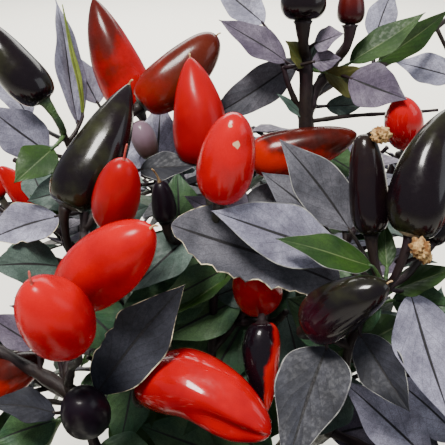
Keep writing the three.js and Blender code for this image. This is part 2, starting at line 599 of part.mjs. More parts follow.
function isClear(name, corners, twigs, fruit, leaves) {
  return (
    corners.every((corner) => roomAt(corner, name) > LEAF_ROOM) &&
    !twigs.some((twig) => pieceMeets([twig.from, twig.to], corners)) &&
    !leaves.some((other) => kitesMeet(kite(other), corners)) &&
    !fruit.some(({ base, tip }) => corners.some((at) => distanceToPiece(at, [base, tip]) < FRUIT_ROOM)) &&
    !fruit.some((one) => pieceMeets([one.from, one.tip], corners))
  );
}

// The leaves of a grown shoot, spread round the ends of its twigs. One that would leave the shoot's
// space, or meet a twig, a fruit or a leaf before it, is left out.
function growLeaves(name, twigs, fruit) {
  const leaves = [];
  for (const { from, to, along, side, key, fork } of twigs) {
    const count = fork === FORKS ? LEAVES_AT_TIP : LEAVES_AT_FORK;
    for (let i = 0; i < count; i++) {
      const out = side.clone().applyAxisAngle(along, i * GOLDEN_ANGLE + LEAF_TURN * chance(key, i));
      const spread = radians(between(LEAF_SPREAD, chance(key, i + 10)));
      const way = along.clone().multiplyScalar(Math.cos(spread)).addScaledVector(out, Math.sin(spread));
      const root = to.clone().lerp(from, FIRST_LEAF + ROOT_STEP * i);
      way.addScaledVector(root.clone().sub(CROWN_HEART).normalize(), OUTWARD);
      way.z -= between(LEAF_DROOP, chance(key, i + 20));
      way.normalize();
      const length = LEAF_LENGTH * between(LEAF_SIZES, chance(key, i + 30));
      const blade = [1, SECOND_TRY]
        .map((share) => ({ root, tip: root.clone().addScaledVector(way, length * share), way }))
        .find((one) => isClear(name, kite(one), twigs, fruit, leaves));
      if (blade) leaves.push(blade);
    }
  }
  return leaves;
}

// The wood of a grown shoot. From each fork the first stretch carries on from the one below, and the
// second starts as a point within it.
function growWood(twigs) {
  const numbered = new Map(twigs.map((twig) => [twig.number, twig]));
  const thickness = (fork) => between(SHOOT_RADII, fork / (FORKS + 1));
  const chains = [];
  for (const { number, from, to, along, fork } of twigs) {
    if (number > 1 && number % 2 === 0) continue;
    const started = from.clone().addScaledVector(along, SIDE_START.length);
    const points = number > 1 ? [from, started, to] : [from, to];
    const radii = [thickness(fork), thickness(fork + 1)];
    if (number > 1) radii.unshift(SIDE_START.radius);
    for (let next = numbered.get(2 * number); next; next = numbered.get(2 * next.number)) {
      points.push(next.to);
      radii.push(thickness(next.fork + 1));
    }
    chains.push(tube(points, radii, 3));
  }
  return chains;
}

function smallChilli(base, tip, size) {
  const { width, bluntness } = SMALL_FRUIT;
  return chilli(base, tip, width * size, bluntness, BASE_BROAD, SMALL_FRUIT_PLACES, SMALL_FRUIT_SIDES);
}

// The whole shoot that the rule grows at the end of its bough: its pieces, from the stem out.
function grownShoot(name) {
  const twigs = [];
  growTwigs(name, shootFoot(name), shootLean(name), INTERNODE, 1, 0, twigs);
  const fruit = growFruit(name, twigs);
  const leaves = growLeaves(name, twigs, fruit);
  const blades = leaves.map(({ root, tip, way }) => {
    const sunk = root.clone().addScaledVector(way, -LEAF_SUNK);
    return plainLeaf(sunk, tip, root.distanceTo(tip) * LEAF_SLIMNESS, UP);
  });
  const fruits = fruit.map(({ from, base, tip, size }) => [
    tube([from, base.clone().lerp(tip, 0.1)], STALK_RADII, 3),
    smallChilli(base, tip, size),
  ]);
  return { stem: growWood(twigs), leaves: blades, fruit: fruits };
}

// The point on a near shoot's twigs that is nearest to a point.
function nearestOnTwigs(lines, point) {
  let best = null;
  for (const line of lines) {
    for (let i = 0; i + 1 < line.length; i++) {
      const at = new THREE.Line3(line[i], line[i + 1]).closestPointToPoint(point, true, new THREE.Vector3());
      if (!best || at.distanceTo(point) < best.distanceTo(point)) best = at;
    }
  }
  return best;
}

// A shoot placed by eye: its twigs, its leaves on their petioles, and the stalks and cups of its fruit.
// The first twig is the stem, and each other one starts as a point within the one that it leaves.
function nearShoot(name) {
  const { twigs, leaves } = NEAR_SHOOTS[name];
  const lines = [];
  const stem = twigs.map((twig, i) => {
    const line = twig.map(seen);
    if (i > 0) line[0] = nearestOnTwigs(lines, line[0]);
    const rings = smooth(line, line.length);
    lines.push(i === 0 ? [rings[0].clone().lerp(rings[1], BARE_FOOT), ...rings.slice(1)] : rings);
    if (i === 0) return tube(rings, taper(NEAR_STEM_RADII, rings.length), 5);
    const points = [rings[0], rings[0].clone().lerp(rings[1], TWIG_FOOT.share), ...rings.slice(1)];
    return tube(points, [TWIG_FOOT.radius, ...taper(SHOOT_RADII, rings.length)], 4);
  });
  const blades = leaves.map(({ root, tip, width, turn }) => {
    const [foot, end] = [seen(root), seen(tip)];
    const way = end.clone().sub(foot).normalize();
    const facing = EYE.clone().sub(foot).normalize().addScaledVector(UP, SKYWARD);
    const join = nearestOnTwigs(lines, foot.clone().addScaledVector(way, -PETIOLE_REACH));
    return leafWithPetiole(join, foot, end, width, facing.applyAxisAngle(way, radians(turn)));
  });
  const stalks = Object.values(CHILLIES[name]).map(({ base, tip, width, from }) => {
    const [foot, end] = [seen(base), seen(tip)];
    const below = foot.clone().addScaledVector(end.clone().sub(foot).normalize(), -STALK_REACH);
    return stalkAndCup(nearestOnTwigs(lines, from ? seen(from) : below), foot, end, width);
  });
  return { stem: [...stem, ...stalks], leaves: blades, fruit: [] };
}

// What is already built, as fattened twins, so that what comes next is cut or kept clear of it.
const twins = [];

function cutClear(manifold) {
  const box = boxOf(manifold);
  const near = twins.filter((twin) => box.intersectsBox(twin.box)).map((twin) => twin.solid);
  if (near.length === 0) return manifold;
  return wholePiece(manifold.subtract(wasm.Manifold.union(near)));
}

function boxOf(manifold) {
  const { min, max } = manifold.boundingBox();
  return new THREE.Box3(new THREE.Vector3(...min), new THREE.Vector3(...max));
}

function keepTwin(fattened) {
  twins.push({ solid: fattened, box: boxOf(fattened) });
}

const plant = new THREE.Group();
const BARK = new THREE.MeshStandardMaterial({ color: 0x4a4430, roughness: 0.85, metalness: 0 });
const GREEN_WOOD = new THREE.MeshStandardMaterial({ color: 0x3c3a2e, roughness: 0.7, metalness: 0 });
const LEAF = new THREE.MeshStandardMaterial({ color: 0x3a3a42, roughness: 0.6, metalness: 0 });
const RED = new THREE.MeshStandardMaterial({ color: 0xc4140f, roughness: 0.25, metalness: 0 });
const BROWN_RED = new THREE.MeshStandardMaterial({ color: 0x7a2016, roughness: 0.25, metalness: 0 });
const BLACK = new THREE.MeshStandardMaterial({ color: 0x1a1016, roughness: 0.22, metalness: 0 });

function add(name, manifold, material) {
  const mesh = new THREE.Mesh(geometryOf(manifold), material);
  mesh.name = name;
  plant.add(mesh);
}

// The main stem: a flared foot, a slight lean and a swelling under the first fork.
function mainStem(fattened = 0) {
  const rings = smooth(STEM_LINE, STEM_STEPS);
  const radii = rings.map(({ z }) => {
    const flare = ROOT_FLARE * Math.max(0, 1 - z / FLARE_HEIGHT) ** 2;
    const fromSwelling = (FIRST_FORK.z - SWELLING.below - z) / SWELLING.length;
    const swelling = SWELLING.size * Math.exp(-(fromSwelling ** 2));
    return between([STEM_FOOT, STEM_TOP], z / FIRST_FORK.z) + flare + swelling;
  });
  return tube(rings, radii, STEM_SIDES, fattened);
}

add('main_stem', mainStem().trimByPlane([0, 0, 1], 0), BARK);
keepTwin(mainStem(CLEARANCE));

function limb(from, to, radii, sides, fattened = 0) {
  const rings = smooth(limbLine(from, to), LIMB_STEPS);
  return tube(rings, taper(radii, rings.length), sides, fattened);
}

for (const [name, { from, to }] of Object.entries(LIMBS)) {
  add(name, cutClear(limb(from, to, LIMB_RADII, LIMB_SIDES)), BARK);
  keepTwin(limb(from, to, LIMB_RADII, LIMB_SIDES, CLEARANCE));
}

for (const [name, bough] of Object.entries(BOUGHS)) {
  const from = LIMBS[bough.limb].to;
  add(name, cutClear(limb(from, bough.to, BOUGH_RADII, BOUGH_SIDES)), GREEN_WOOD);
  keepTwin(limb(from, bough.to, BOUGH_RADII, BOUGH_SIDES, CLEARANCE));
}

const allChillies = Object.values(CHILLIES).flatMap((fruit) => Object.entries(fruit));
for (const [name, { base, tip, width, blunt, broad = BASE_BROAD }] of allChillies) {
  const colour = name.includes('black') ? BLACK : name.includes('red') ? RED : BROWN_RED;
  const shape = [seen(base), seen(tip), width, blunt, broad, FRUIT_PLACES, FRUIT_SIDES];
  add(`chilli_${name}`, chilli(...shape), colour);
  keepTwin(chilli(...shape, CALYX_GAP));
}

// Each shoot in turn: its stem is fused first, then each leaf and fruit that touches none of the shoots
// before it.
const shoots = [];
for (const name of [...Object.keys(NEAR_SHOOTS), ...Object.keys(GROWN_SHOOTS)]) {
  const { stem, leaves, fruit } = name in NEAR_SHOOTS ? nearShoot(name) : grownShoot(name);
  const clear = (pieces) =>
    pieces.every((piece) => shoots.every((shoot) => piece.minGap(shoot, CLEARANCE) >= CLEARANCE));
  const kept = [
    ...stem,
    ...leaves.filter((blade) => clear([blade])),
    ...fruit.filter(clear).flat(),
  ];
  const whole = cutClear(wasm.Manifold.union(kept).asOriginal().simplify(FINEST));
  shoots.push(whole);
  add(name, whole, LEAF);
}

export default plant;
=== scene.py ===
# %% [markdown]
# # A chilli pepper plant in fruit
# A compact chilli plant, about 0.4 m tall and wide. A woody stem forks into limbs and boughs, and each bough
# ends in a leafy shoot with upright pods, which turn from black through brown to red.
# The solids of the plant are loaded first, as a frame. Every piece below is built over them, in the same place.

# %% Load the frame
import math

import bpy
import numpy as np
from mathutils import Euler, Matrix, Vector
from mathutils.geometry import intersect_ray_tri


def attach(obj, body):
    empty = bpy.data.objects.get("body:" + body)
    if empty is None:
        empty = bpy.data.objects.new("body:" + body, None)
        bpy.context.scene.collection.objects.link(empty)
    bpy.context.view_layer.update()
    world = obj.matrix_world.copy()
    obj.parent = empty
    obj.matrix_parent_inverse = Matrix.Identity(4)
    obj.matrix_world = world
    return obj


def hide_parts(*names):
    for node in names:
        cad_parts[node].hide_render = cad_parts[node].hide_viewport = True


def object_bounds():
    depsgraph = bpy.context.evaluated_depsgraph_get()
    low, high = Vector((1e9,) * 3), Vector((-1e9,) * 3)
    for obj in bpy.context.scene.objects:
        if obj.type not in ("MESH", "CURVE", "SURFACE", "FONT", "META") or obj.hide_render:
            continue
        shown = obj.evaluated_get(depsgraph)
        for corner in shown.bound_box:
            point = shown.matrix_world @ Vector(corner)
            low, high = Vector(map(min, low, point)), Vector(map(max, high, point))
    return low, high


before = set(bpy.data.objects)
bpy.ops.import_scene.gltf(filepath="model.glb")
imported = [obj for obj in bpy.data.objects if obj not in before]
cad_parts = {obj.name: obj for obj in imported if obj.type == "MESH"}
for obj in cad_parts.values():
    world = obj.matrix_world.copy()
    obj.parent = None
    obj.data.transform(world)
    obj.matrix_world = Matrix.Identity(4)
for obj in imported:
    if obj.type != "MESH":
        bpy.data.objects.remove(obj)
cad_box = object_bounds()
bpy.ops.object.select_all(action="DESELECT")
print(len(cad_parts), "nodes in the frame")

# %% [markdown]
# ## Units and lines of sight
# Sizes are in millimetres, as a plant is measured with a ruler, and become metres as a mesh is made. On the near side
# of the plant a point is given by where it shows in a square picture, and by how far away it is along that line of
# sight. Such a place reads like the picture, and still is a true place in space.

# %% The view of the near side
MM = 0.001
PICTURE = 445  # px, each way
EYE_TO_CROWN = 274  # mm, from the eye to the middle of what it sees
CROWN_MIDDLE = np.array([0, -30, 300])
LOOKING_DOWN = math.radians(25)
VIEW_ANGLE = math.radians(36)
UP = np.array([0.0, 0.0, 1.0])
SIGHT = np.array([0, math.cos(LOOKING_DOWN), -math.sin(LOOKING_DOWN)])
PICTURE_UP = np.array([0, math.sin(LOOKING_DOWN), math.cos(LOOKING_DOWN)])
EYE = CROWN_MIDDLE - SIGHT * EYE_TO_CROWN
SPREAD = 2 * math.tan(VIEW_ANGLE / 2) / PICTURE  # mm across a pixel, for each mm away


def seen(place):
    """The point at a pixel of the picture (px across, px down), and so many mm away."""
    across, down, away = place
    point = EYE + SIGHT * away + PICTURE_UP * (PICTURE / 2 - down) * SPREAD * away
    point[0] = (across - PICTURE / 2) * SPREAD * away
    return point


def in_picture(point):
    """Where a point falls in the picture: px across, px down and mm away."""
    reach = point - EYE
    away = reach @ SIGHT
    across = PICTURE / 2 + reach[0] / (SPREAD * away)
    down = PICTURE / 2 - (reach @ PICTURE_UP) / (SPREAD * away)
    return across, down, away


print("the eye is", np.round(EYE).astype(int), "mm from the foot of the stem")

# %% [markdown]
# ## Floor, light and camera
# A plain pale floor and soft light show a plant as it is. Waxy fruit need something bright to mirror: a small
# lamp overhead draws the white streak down each pod. A weak lamp from the right softens the shadows, a broad one
# lights the floor behind the plant, and a wide sky of low strength fills the shade between the leaves. The
# camera stands where the eye is.

# %% The stage
bpy.ops.mesh.primitive_plane_add(size=14, location=(0, 0, 0))
floor = bpy.context.active_object
floor.name = "floor"
floor_finish = bpy.data.materials.new("floor_finish")
floor_finish.use_nodes = True
paint_of_floor = floor_finish.node_tree.nodes["Principled BSDF"].inputs
paint_of_floor["Base Color"].default_value = (0.92, 0.88, 0.78, 1)
paint_of_floor["Roughness"].default_value = 0.9
floor.data.materials.append(floor_finish)

sky = bpy.data.worlds.new("sky")
bpy.context.scene.world = sky
sky.use_nodes = True
light_of_sky = sky.node_tree.nodes["Background"].inputs
light_of_sky["Color"].default_value = (0.82, 0.9, 1.0, 1)
light_of_sky["Strength"].default_value = 0.55


def add_lamp(name, place, size, power, tint, target=(0, -0.03, 0.28)):
    """A soft square lamp that looks at the crown, or at another target. Places and sizes are in metres."""
    bpy.ops.object.light_add(type="AREA", location=place)
    light = bpy.context.active_object
    light.name = name
    light.data.size = size
    light.data.energy = power
    light.data.color = tint
    way = np.array(target) - np.array(place)
    across = math.hypot(way[0], way[1])
    light.rotation_euler = (math.atan2(across, -way[2]), 0, math.atan2(-way[0], way[1]))


add_lamp("lamp_overhead", (-0.25, -0.45, 1.35), 0.3, 31, (1, 0.97, 0.92))
add_lamp("lamp_side", (1.1, -0.3, 0.8), 0.7, 4.5, (0.9, 0.95, 1))
add_lamp("lamp_floor", (0, 2.2, 1.6), 2.4, 140, (1, 0.98, 0.92), target=(0, 2.3, 0))

bpy.ops.object.camera_add(location=EYE * MM, rotation=(math.pi / 2 - LOOKING_DOWN, 0, 0))
camera = bpy.context.active_object
camera.data.angle = VIEW_ANGLE
camera.data.clip_start = 0.01
bpy.context.scene.camera = camera
print("floor, three lamps and a camera with a view of", round(math.degrees(VIEW_ANGLE)), "degrees")

# %% [markdown]
# ## Finishes
# Leaf, wood and fruit share a few effects, so each effect is a node group that is built once: blotches that
# follow the object, the veins of a leaf, the ridges of bark, and the way that ripeness spreads over a pod. The
# shader itself stays in each finish, with the gloss set on it.

# %% Helpers for nodes
MIX_SHARE, MIX_FIRST, MIX_SECOND = 0, 6, 7  # a Mix node's sockets when it mixes colours


def from_hex(text):
    """A colour written as a screen shows it, as the linear numbers that a shader takes."""
    shown = [int(text[i : i + 2], 16) / 255 for i in (0, 2, 4)]
    return tuple(c / 12.92 if c <= 0.04045 else ((c + 0.055) / 1.055) ** 2.4 for c in shown) + (1,)


def wire(tree, source, target):
    tree.links.new(source, target)


def feed(tree, sockets, terms):
    """Gives each socket its term: the output of another node, or a value that is set on the socket."""
    for socket, term in zip(sockets, terms):
        if isinstance(term, bpy.types.NodeSocket):
            wire(tree, term, socket)
        elif term is not None:
            socket.default_value = term


def add_node(tree, kind, values=None, **settings):
    """A node of a kind, with its settings and its unlinked inputs."""
    made = tree.nodes.new(kind)
    for name, value in settings.items():
        setattr(made, name, value)
    for name, value in (values or {}).items():
        made.inputs[name].default_value = value
    return made


def maths(tree, operation, first, second=None, third=None):
    """One step of arithmetic. Each term is a socket or a number."""
    step = add_node(tree, "ShaderNodeMath", operation=operation)
    feed(tree, step.inputs, (first, second, third))
    return step.outputs[0]


def mixed(tree, share, first, second):
    """A colour between two others. The share and the colours are sockets or values."""
    mix = add_node(tree, "ShaderNodeMix", data_type="RGBA")
    feed(tree, [mix.inputs[i] for i in (MIX_SHARE, MIX_FIRST, MIX_SECOND)], (share, first, second))
    return mix.outputs[2]


def ramp(tree, value, low, high, to_low=0.0, to_high=1.0):
    """A value carried smoothly from one span to another."""
    step = add_node(tree, "ShaderNodeMapRange", interpolation_type="SMOOTHSTEP")
    feed(tree, step.inputs, (value, low, high, to_low, to_high))
    return step.outputs[0]


def object_place(tree):
    """Where a spot lies on the object, in metres."""
    return tree.nodes.new("ShaderNodeTexCoord").outputs["Object"]


def map_place(tree, uv_map):
    """Where a spot lies on a UV map: how far across it, and how far up."""
    spot = tree.nodes.new("ShaderNodeSeparateXYZ")
    wire(tree, add_node(tree, "ShaderNodeUVMap", uv_map=uv_map).outputs["UV"], spot.inputs[0])
    return spot.outputs["X"], spot.outputs["Y"]


def noise(tree, place, scale, detail, roughness=0.5):
    """Cloudy noise at a place, from 0 to 1."""
    made = add_node(tree, "ShaderNodeTexNoise", {"Detail": detail, "Roughness": roughness})
    feed(tree, (made.inputs["Vector"], made.inputs["Scale"]), (place, scale))
    return made.outputs["Fac"]


print("helpers for nodes ready")

# %% Helpers for effects and finishes
def new_effect(name, inputs, outputs):
    """An empty node group with named inputs and outputs. Returns the tree and its two ends."""
    tree = bpy.data.node_groups.new(name, "ShaderNodeTree")
    for title, start in inputs.items():
        tree.interface.new_socket(title, in_out="INPUT", socket_type="NodeSocketFloat").default_value = start
    for title in outputs:
        tree.interface.new_socket(title, in_out="OUTPUT", socket_type="NodeSocketFloat")
    return tree, tree.nodes.new("NodeGroupInput").outputs, tree.nodes.new("NodeGroupOutput").inputs


def place_effect(tree, effect, **values):
    """An effect set into a finish, with its own values. Returns its outputs."""
    group = tree.nodes.new("ShaderNodeGroup")
    group.node_tree = effect
    for name, value in values.items():
        group.inputs[name.replace("_", " ")].default_value = value
    return group.outputs


def new_finish(name):
    """An empty finish. Returns it with its node tree and its shader."""
    finish = bpy.data.materials.new(name)
    finish.use_nodes = True
    return finish, finish.node_tree, finish.node_tree.nodes["Principled BSDF"]


def paint(tree, shader, colour, mask, rough_at_0, rough_at_1):
    """Sets a finish's colour, and its roughness, which runs with a mask from 0 to 1."""
    wire(tree, colour, shader.inputs["Base Color"])
    wire(tree, ramp(tree, mask, 0, 1, rough_at_0, rough_at_1), shader.inputs["Roughness"])


def add_relief(tree, shader, height, strength, depth):
    """Relief that is too fine to model, from a height, so many metres deep."""
    relief = add_node(tree, "ShaderNodeBump", {"Strength": strength, "Distance": depth})
    wire(tree, height, relief.inputs["Height"])
    wire(tree, relief.outputs[0], shader.inputs["Normal"])


def set_gloss(shader, **values):
    """Sets what is the same all over the skin, on the shader's own sockets."""
    for name, value in values.items():
        shader.inputs[name.replace("_", " ")].default_value = value


print("helpers for effects and finishes ready")

# %% [markdown]
# ### Blotches
# Nothing that grows has one even colour. This effect gives a soft, uneven mask of a chosen size, and a finer one.

# %% Effect: blotches
FINE_BLOTCHES = 9.0  # how many times smaller the finer ones are
blotches, given, made = new_effect("blotches", {"Per metre": 60.0, "Contrast": 0.5}, ["Broad", "Fine"])
place = object_place(blotches)
low = maths(blotches, "MULTIPLY_ADD", given["Contrast"], 0.25, 0.2)
high = maths(blotches, "SUBTRACT", 1.0, low)
broad = noise(blotches, place, given["Per metre"], 3.0, 0.55)
fine = noise(blotches, place, maths(blotches, "MULTIPLY", given["Per metre"], FINE_BLOTCHES), 4.0, 0.6)
wire(blotches, ramp(blotches, broad, low, high), made["Broad"])
wire(blotches, ramp(blotches, fine, low, high), made["Fine"])
print("effect:", blotches.name)

# %% [markdown]
# ### Leaf veins
# A chilli leaf has one strong midrib, and five to seven pairs of side veins that leave it at a slant and curve
# towards the tip. Between them the blade is puffed up a little. The leaf's own UV map says where a spot lies along
# the blade and how far out from the midrib, so the veins are worked out from that.

# %% Effect: leaf veins
veins, given, made = new_effect("leaf_veins", {"Pairs": 7.0, "Slant": 0.42, "Width": 0.07}, ["Veins", "Puff"])
along, over = map_place(veins, "blade")
outwards = maths(veins, "MULTIPLY", maths(veins, "ABSOLUTE", maths(veins, "SUBTRACT", over, 0.5)), 2.0)
slanted = maths(veins, "MULTIPLY", maths(veins, "POWER", outwards, 0.8), given["Slant"])
turns = maths(veins, "MULTIPLY", maths(veins, "SUBTRACT", along, slanted), given["Pairs"])
from_vein = maths(veins, "ABSOLUTE", maths(veins, "SUBTRACT", maths(veins, "FRACT", turns), 0.5))
side_vein = ramp(veins, from_vein, 0.0, given["Width"], 0.45, 0.0)
faded = maths(veins, "MULTIPLY", side_vein, ramp(veins, outwards, 0.75, 1.0, 1.0, 0.1))
midrib = ramp(veins, outwards, 0.03, 0.07, 1.0, 0.0)
wire(veins, maths(veins, "MAXIMUM", faded, midrib), made["Veins"])
swell = maths(veins, "POWER", maths(veins, "MULTIPLY", from_vein, 2.0), 0.6)
wire(veins, maths(veins, "MULTIPLY", swell, ramp(veins, outwards, 0.0, 0.15)), made["Puff"])
print("effect:", veins.name)

# %% [markdown]
# ### Bark ridges
# The old wood has fine cracks that run along it, and small corky warts. Noise that is drawn out along the stem's
# own UV map makes both.

# %% Effect: bark ridges
ridges, given, made = new_effect("bark_ridges", {"Around": 9.0, "Along": 3.0}, ["Crack", "Height"])
around, along = map_place(ridges, "grain")
turned = maths(ridges, "MULTIPLY", around, 2 * math.pi)
stretched = ridges.nodes.new("ShaderNodeCombineXYZ")
for axis, wave in (("X", "COSINE"), ("Y", "SINE")):
    wire(ridges, maths(ridges, "MULTIPLY", maths(ridges, wave, turned), given["Around"]), stretched.inputs[axis])
wire(ridges, maths(ridges, "MULTIPLY", along, given["Along"]), stretched.inputs["Z"])
grain = noise(ridges, stretched.outputs[0], 1.0, 5.0, 0.65)
wire(ridges, ramp(ridges, grain, 0.32, 0.52, 1.0, 0.0), made["Crack"])
wire(ridges, grain, made["Height"])
print("effect:", ridges.name)

# %% [markdown]
# ### Ripening
# A pod colours unevenly: from one end, and more on one side. Its UV map says how far along the pod a spot is, and
# how far round from the side that faces the eye. The edge of the ripe colour is blurred and a little ragged.

# %% Effect: ripening
RAGGED = 0.6  # how far the edge of the ripe colour strays, along the pod
ripening, given, made = new_effect("ripening", {"Start": 0.5, "Blur": 0.3, "Lean": 0.0, "Side": 0.0}, ["Ripe"])
around, along = map_place(ripening, "pod")
angle = maths(ripening, "MULTIPLY", maths(ripening, "SUBTRACT", around, given["Side"]), 2 * math.pi)
lean = maths(ripening, "MULTIPLY", maths(ripening, "COSINE", angle), given["Lean"])
patch = noise(ripening, object_place(ripening), 140.0, 3.0)
ragged = maths(ripening, "MULTIPLY", maths(ripening, "SUBTRACT", patch, 0.5), RAGGED)
level = maths(ripening, "ADD", maths(ripening, "ADD", along, lean), ragged)
half_blur = maths(ripening, "MULTIPLY", given["Blur"], 0.5)
low, high = (maths(ripening, way, given["Start"], half_blur) for way in ("SUBTRACT", "ADD"))
wire(ripening, ramp(ripening, level, low, high), made["Ripe"])
print("effect:", ripening.name)

# %% [markdown]
# ### Leaf finishes
# The plant's leaves run from green through grey to purple, often on one shoot. Each finish is a plain colour with
# a second one in blotches, darker veins and a satin skin. A thin dry rim is a finish of its own.

# %% Finish: leaves
LEAF_SHADES = {  # blade, blotches, veins, how far they stand out, roughness
    "slate": ("46464d", "67666e", "100e12", 0.75, 0.52),
    # a darker copy of slate: partly the leaves' own deeper tone, partly painted shade for near leaves that face the
    # lamp overhead
    "dark_slate": ("1e1f26", "32333c", "050506", 0.85, 0.56),
    "lilac": ("6e6c7c", "9a99ac", "241f2a", 0.75, 0.52),
    "purple": ("4f4656", "706776", "150f1a", 0.75, 0.52),
    "green_grey": ("364840", "55665e", "141c18", 0.7, 0.5),
    "deep_green": ("2a4a32", "44603a", "0e1810", 0.7, 0.5),
    "green": ("17320a", "2b4612", "0e1e06", 0.65, 0.54),
    "olive": ("44461d", "5c5a2c", "2c2b1a", 0.6, 0.42),
    # painted backlight: a yellow-green glow for the edge of a leaf that the light shines through
    "yellow_green": ("5c6c1e", "84923c", "3c4c16", 0.5, 0.5),
}
LEAF_GRAIN = 2400.0  # specks per metre
LEAF_RELIEF = 0.0004


def leaf_finish(name, blade, patches, vein, strength, roughness):
    finish, tree, shader = new_finish("leaf_" + name)
    spread = place_effect(tree, blotches, Per_metre=70.0, Contrast=0.6)
    net = place_effect(tree, veins)
    specks = noise(tree, object_place(tree), LEAF_GRAIN, 2.0)
    colour = mixed(tree, spread["Broad"], from_hex(blade), from_hex(patches))
    for share in (
        maths(tree, "MULTIPLY", spread["Fine"], 0.25),
        ramp(tree, specks, 0.35, 0.65, 0.0, 0.35),
        maths(tree, "MULTIPLY", net["Veins"], strength),
    ):
        colour = mixed(tree, share, colour, from_hex(vein))
    paint(tree, shader, colour, spread["Fine"], roughness - 0.06, roughness + 0.1)
    add_relief(tree, shader, maths(tree, "MULTIPLY_ADD", specks, 0.6, net["Puff"]), 0.2, LEAF_RELIEF)
    set_gloss(shader, Specular_IOR_Level=0.25)
    return finish


leaf_finishes = {name: leaf_finish(name, *shade) for name, shade in LEAF_SHADES.items()}
print(len(leaf_finishes), "leaf finishes")

# %% Finish: midribs, rims, spurs, calyxes and dry flowers
def plain_finish(name, first, second, roughness, per_metre=120.0, coat=0.0, depth=0.0003):
    """A colour with a second one in blotches, and a fine grain."""
    finish, tree, shader = new_finish(name)
    spread = place_effect(tree, blotches, Per_metre=per_metre, Contrast=0.7)
    colour = mixed(tree, spread["Broad"], from_hex(first), from_hex(second))
    paint(tree, shader, colour, spread["Fine"], roughness - 0.05, roughness + 0.1)
    add_relief(tree, shader, spread["Fine"], 0.6, depth)
    set_gloss(shader, Coat_Weight=coat)
    return finish


midrib_dark = plain_finish("midrib_dark", "060406", "0e0a0e", 0.75, depth=0.0001)
midrib_green = plain_finish("midrib_green", "2c401a", "445428", 0.6, depth=0.0001)
pale_rim = plain_finish("pale_rim", "4c4b4e", "9a9a94", 0.55)
dry_rim = plain_finish("dry_rim", "2c2622", "e8d9b4", 0.8, per_metre=210.0)
dry_flower = plain_finish("dry_flower", "7c4e20", "d2ac72", 0.85, per_metre=420.0, depth=0.0008)
spur_brown = plain_finish("spur_brown", "8a6038", "c8a878", 0.7, per_metre=500.0)
spur_red = plain_finish("spur_red", "a02018", "b8584a", 0.5, per_metre=500.0)
green_stalk = plain_finish("green_stalk", "20381a", "3c5a24", 0.45, coat=0.15)
calyx_green = plain_finish("calyx_green", "1c2414", "2c281c", 0.5, coat=0.1)
calyx_pale = plain_finish("calyx_pale", "6d5a4c", "9a8a70", 0.5, coat=0.1)
print("midribs, rims, spurs and calyxes")

# %% [markdown]
# ### Wood finishes
# The main stem and limbs are grey-brown and cracked. The boughs and twigs are younger: green under a stain of
# purple-brown, smooth and slightly shiny.

# %% Finish: wood
def wood_finish(name, wood, crack, tint, around, along, depth, roughness, coat=0.0, shine=0.5):
    """Wood with cracks in it: how dense they are around and along the stick, and how deep in metres."""
    finish, tree, shader = new_finish(name)
    grain = place_effect(tree, ridges, Around=around, Along=along)
    spread = place_effect(tree, blotches, Per_metre=45.0, Contrast=0.8)
    body = mixed(tree, spread["Broad"], from_hex(wood), from_hex(tint))
    colour = mixed(tree, grain["Crack"], body, from_hex(crack))
    paint(tree, shader, colour, grain["Height"], roughness + 0.1, roughness - 0.1)
    add_relief(tree, shader, grain["Height"], 0.8, depth)
    set_gloss(shader, Coat_Weight=coat, Specular_IOR_Level=shine)
    return finish


bark = wood_finish("bark", "6b5c45", "2c2319", "847a62", 7.0, 0.22, 0.0012, 0.85)
limb_bark = wood_finish("limb_bark", "584c3a", "2a2119", "5f6044", 5.0, 0.25, 0.0008, 0.7)
green_wood = wood_finish("green_wood", "28291a", "180f12", "26181c", 3.0, 0.3, 0.0004, 0.5, coat=0.1)
twig_wood = wood_finish("twig_wood", "1e1015", "10070a", "1e1612", 2.0, 0.4, 0.0003, 0.52, coat=0.05, shine=0.2)
print("wood finishes")

# %% [markdown]
# ### Fruit finishes
# A pod has a thin wax over a smooth skin: the shader's coat gives the sharp white streak, and the skin below it is
# a little rougher. Ripe pods are red with darker and lighter patches. Unripe ones are nearly black, with an olive
# or maroon glow where the light gets in. Pods that are turning carry both colours.

# %% Finish: fruit
def pod_finish(name, unripe, ripe, patches, start=0.5, blur=0.5, lean=0.0, side=0.0, roughness=0.26,
               mottle=0.5, wax=0.35, sharp=1.6):
    """A pod's skin: its three colours, how it ripens, and how strong and sharp its patches are."""
    finish, tree, shader = new_finish("pod_" + name)
    turning = place_effect(tree, ripening, Start=start, Blur=blur, Lean=lean, Side=side)
    spread = place_effect(tree, blotches, Per_metre=60.0, Contrast=0.35)
    patchy = maths(tree, "MULTIPLY", maths(tree, "POWER", spread["Broad"], sharp), mottle)
    colour = mixed(tree, turning["Ripe"], from_hex(unripe), from_hex(ripe))
    colour = mixed(tree, patchy, colour, from_hex(patches))
    paint(tree, shader, colour, spread["Fine"], roughness - 0.03, roughness + 0.07)
    add_relief(tree, shader, maths(tree, "MULTIPLY_ADD", spread["Fine"], 0.3, spread["Broad"]), 0.02, 0.0004)
    set_gloss(shader, Specular_IOR_Level=0.08, Coat_Weight=wax, Coat_IOR=1.35, Coat_Roughness=0.25 - 0.3 * wax)
    return finish


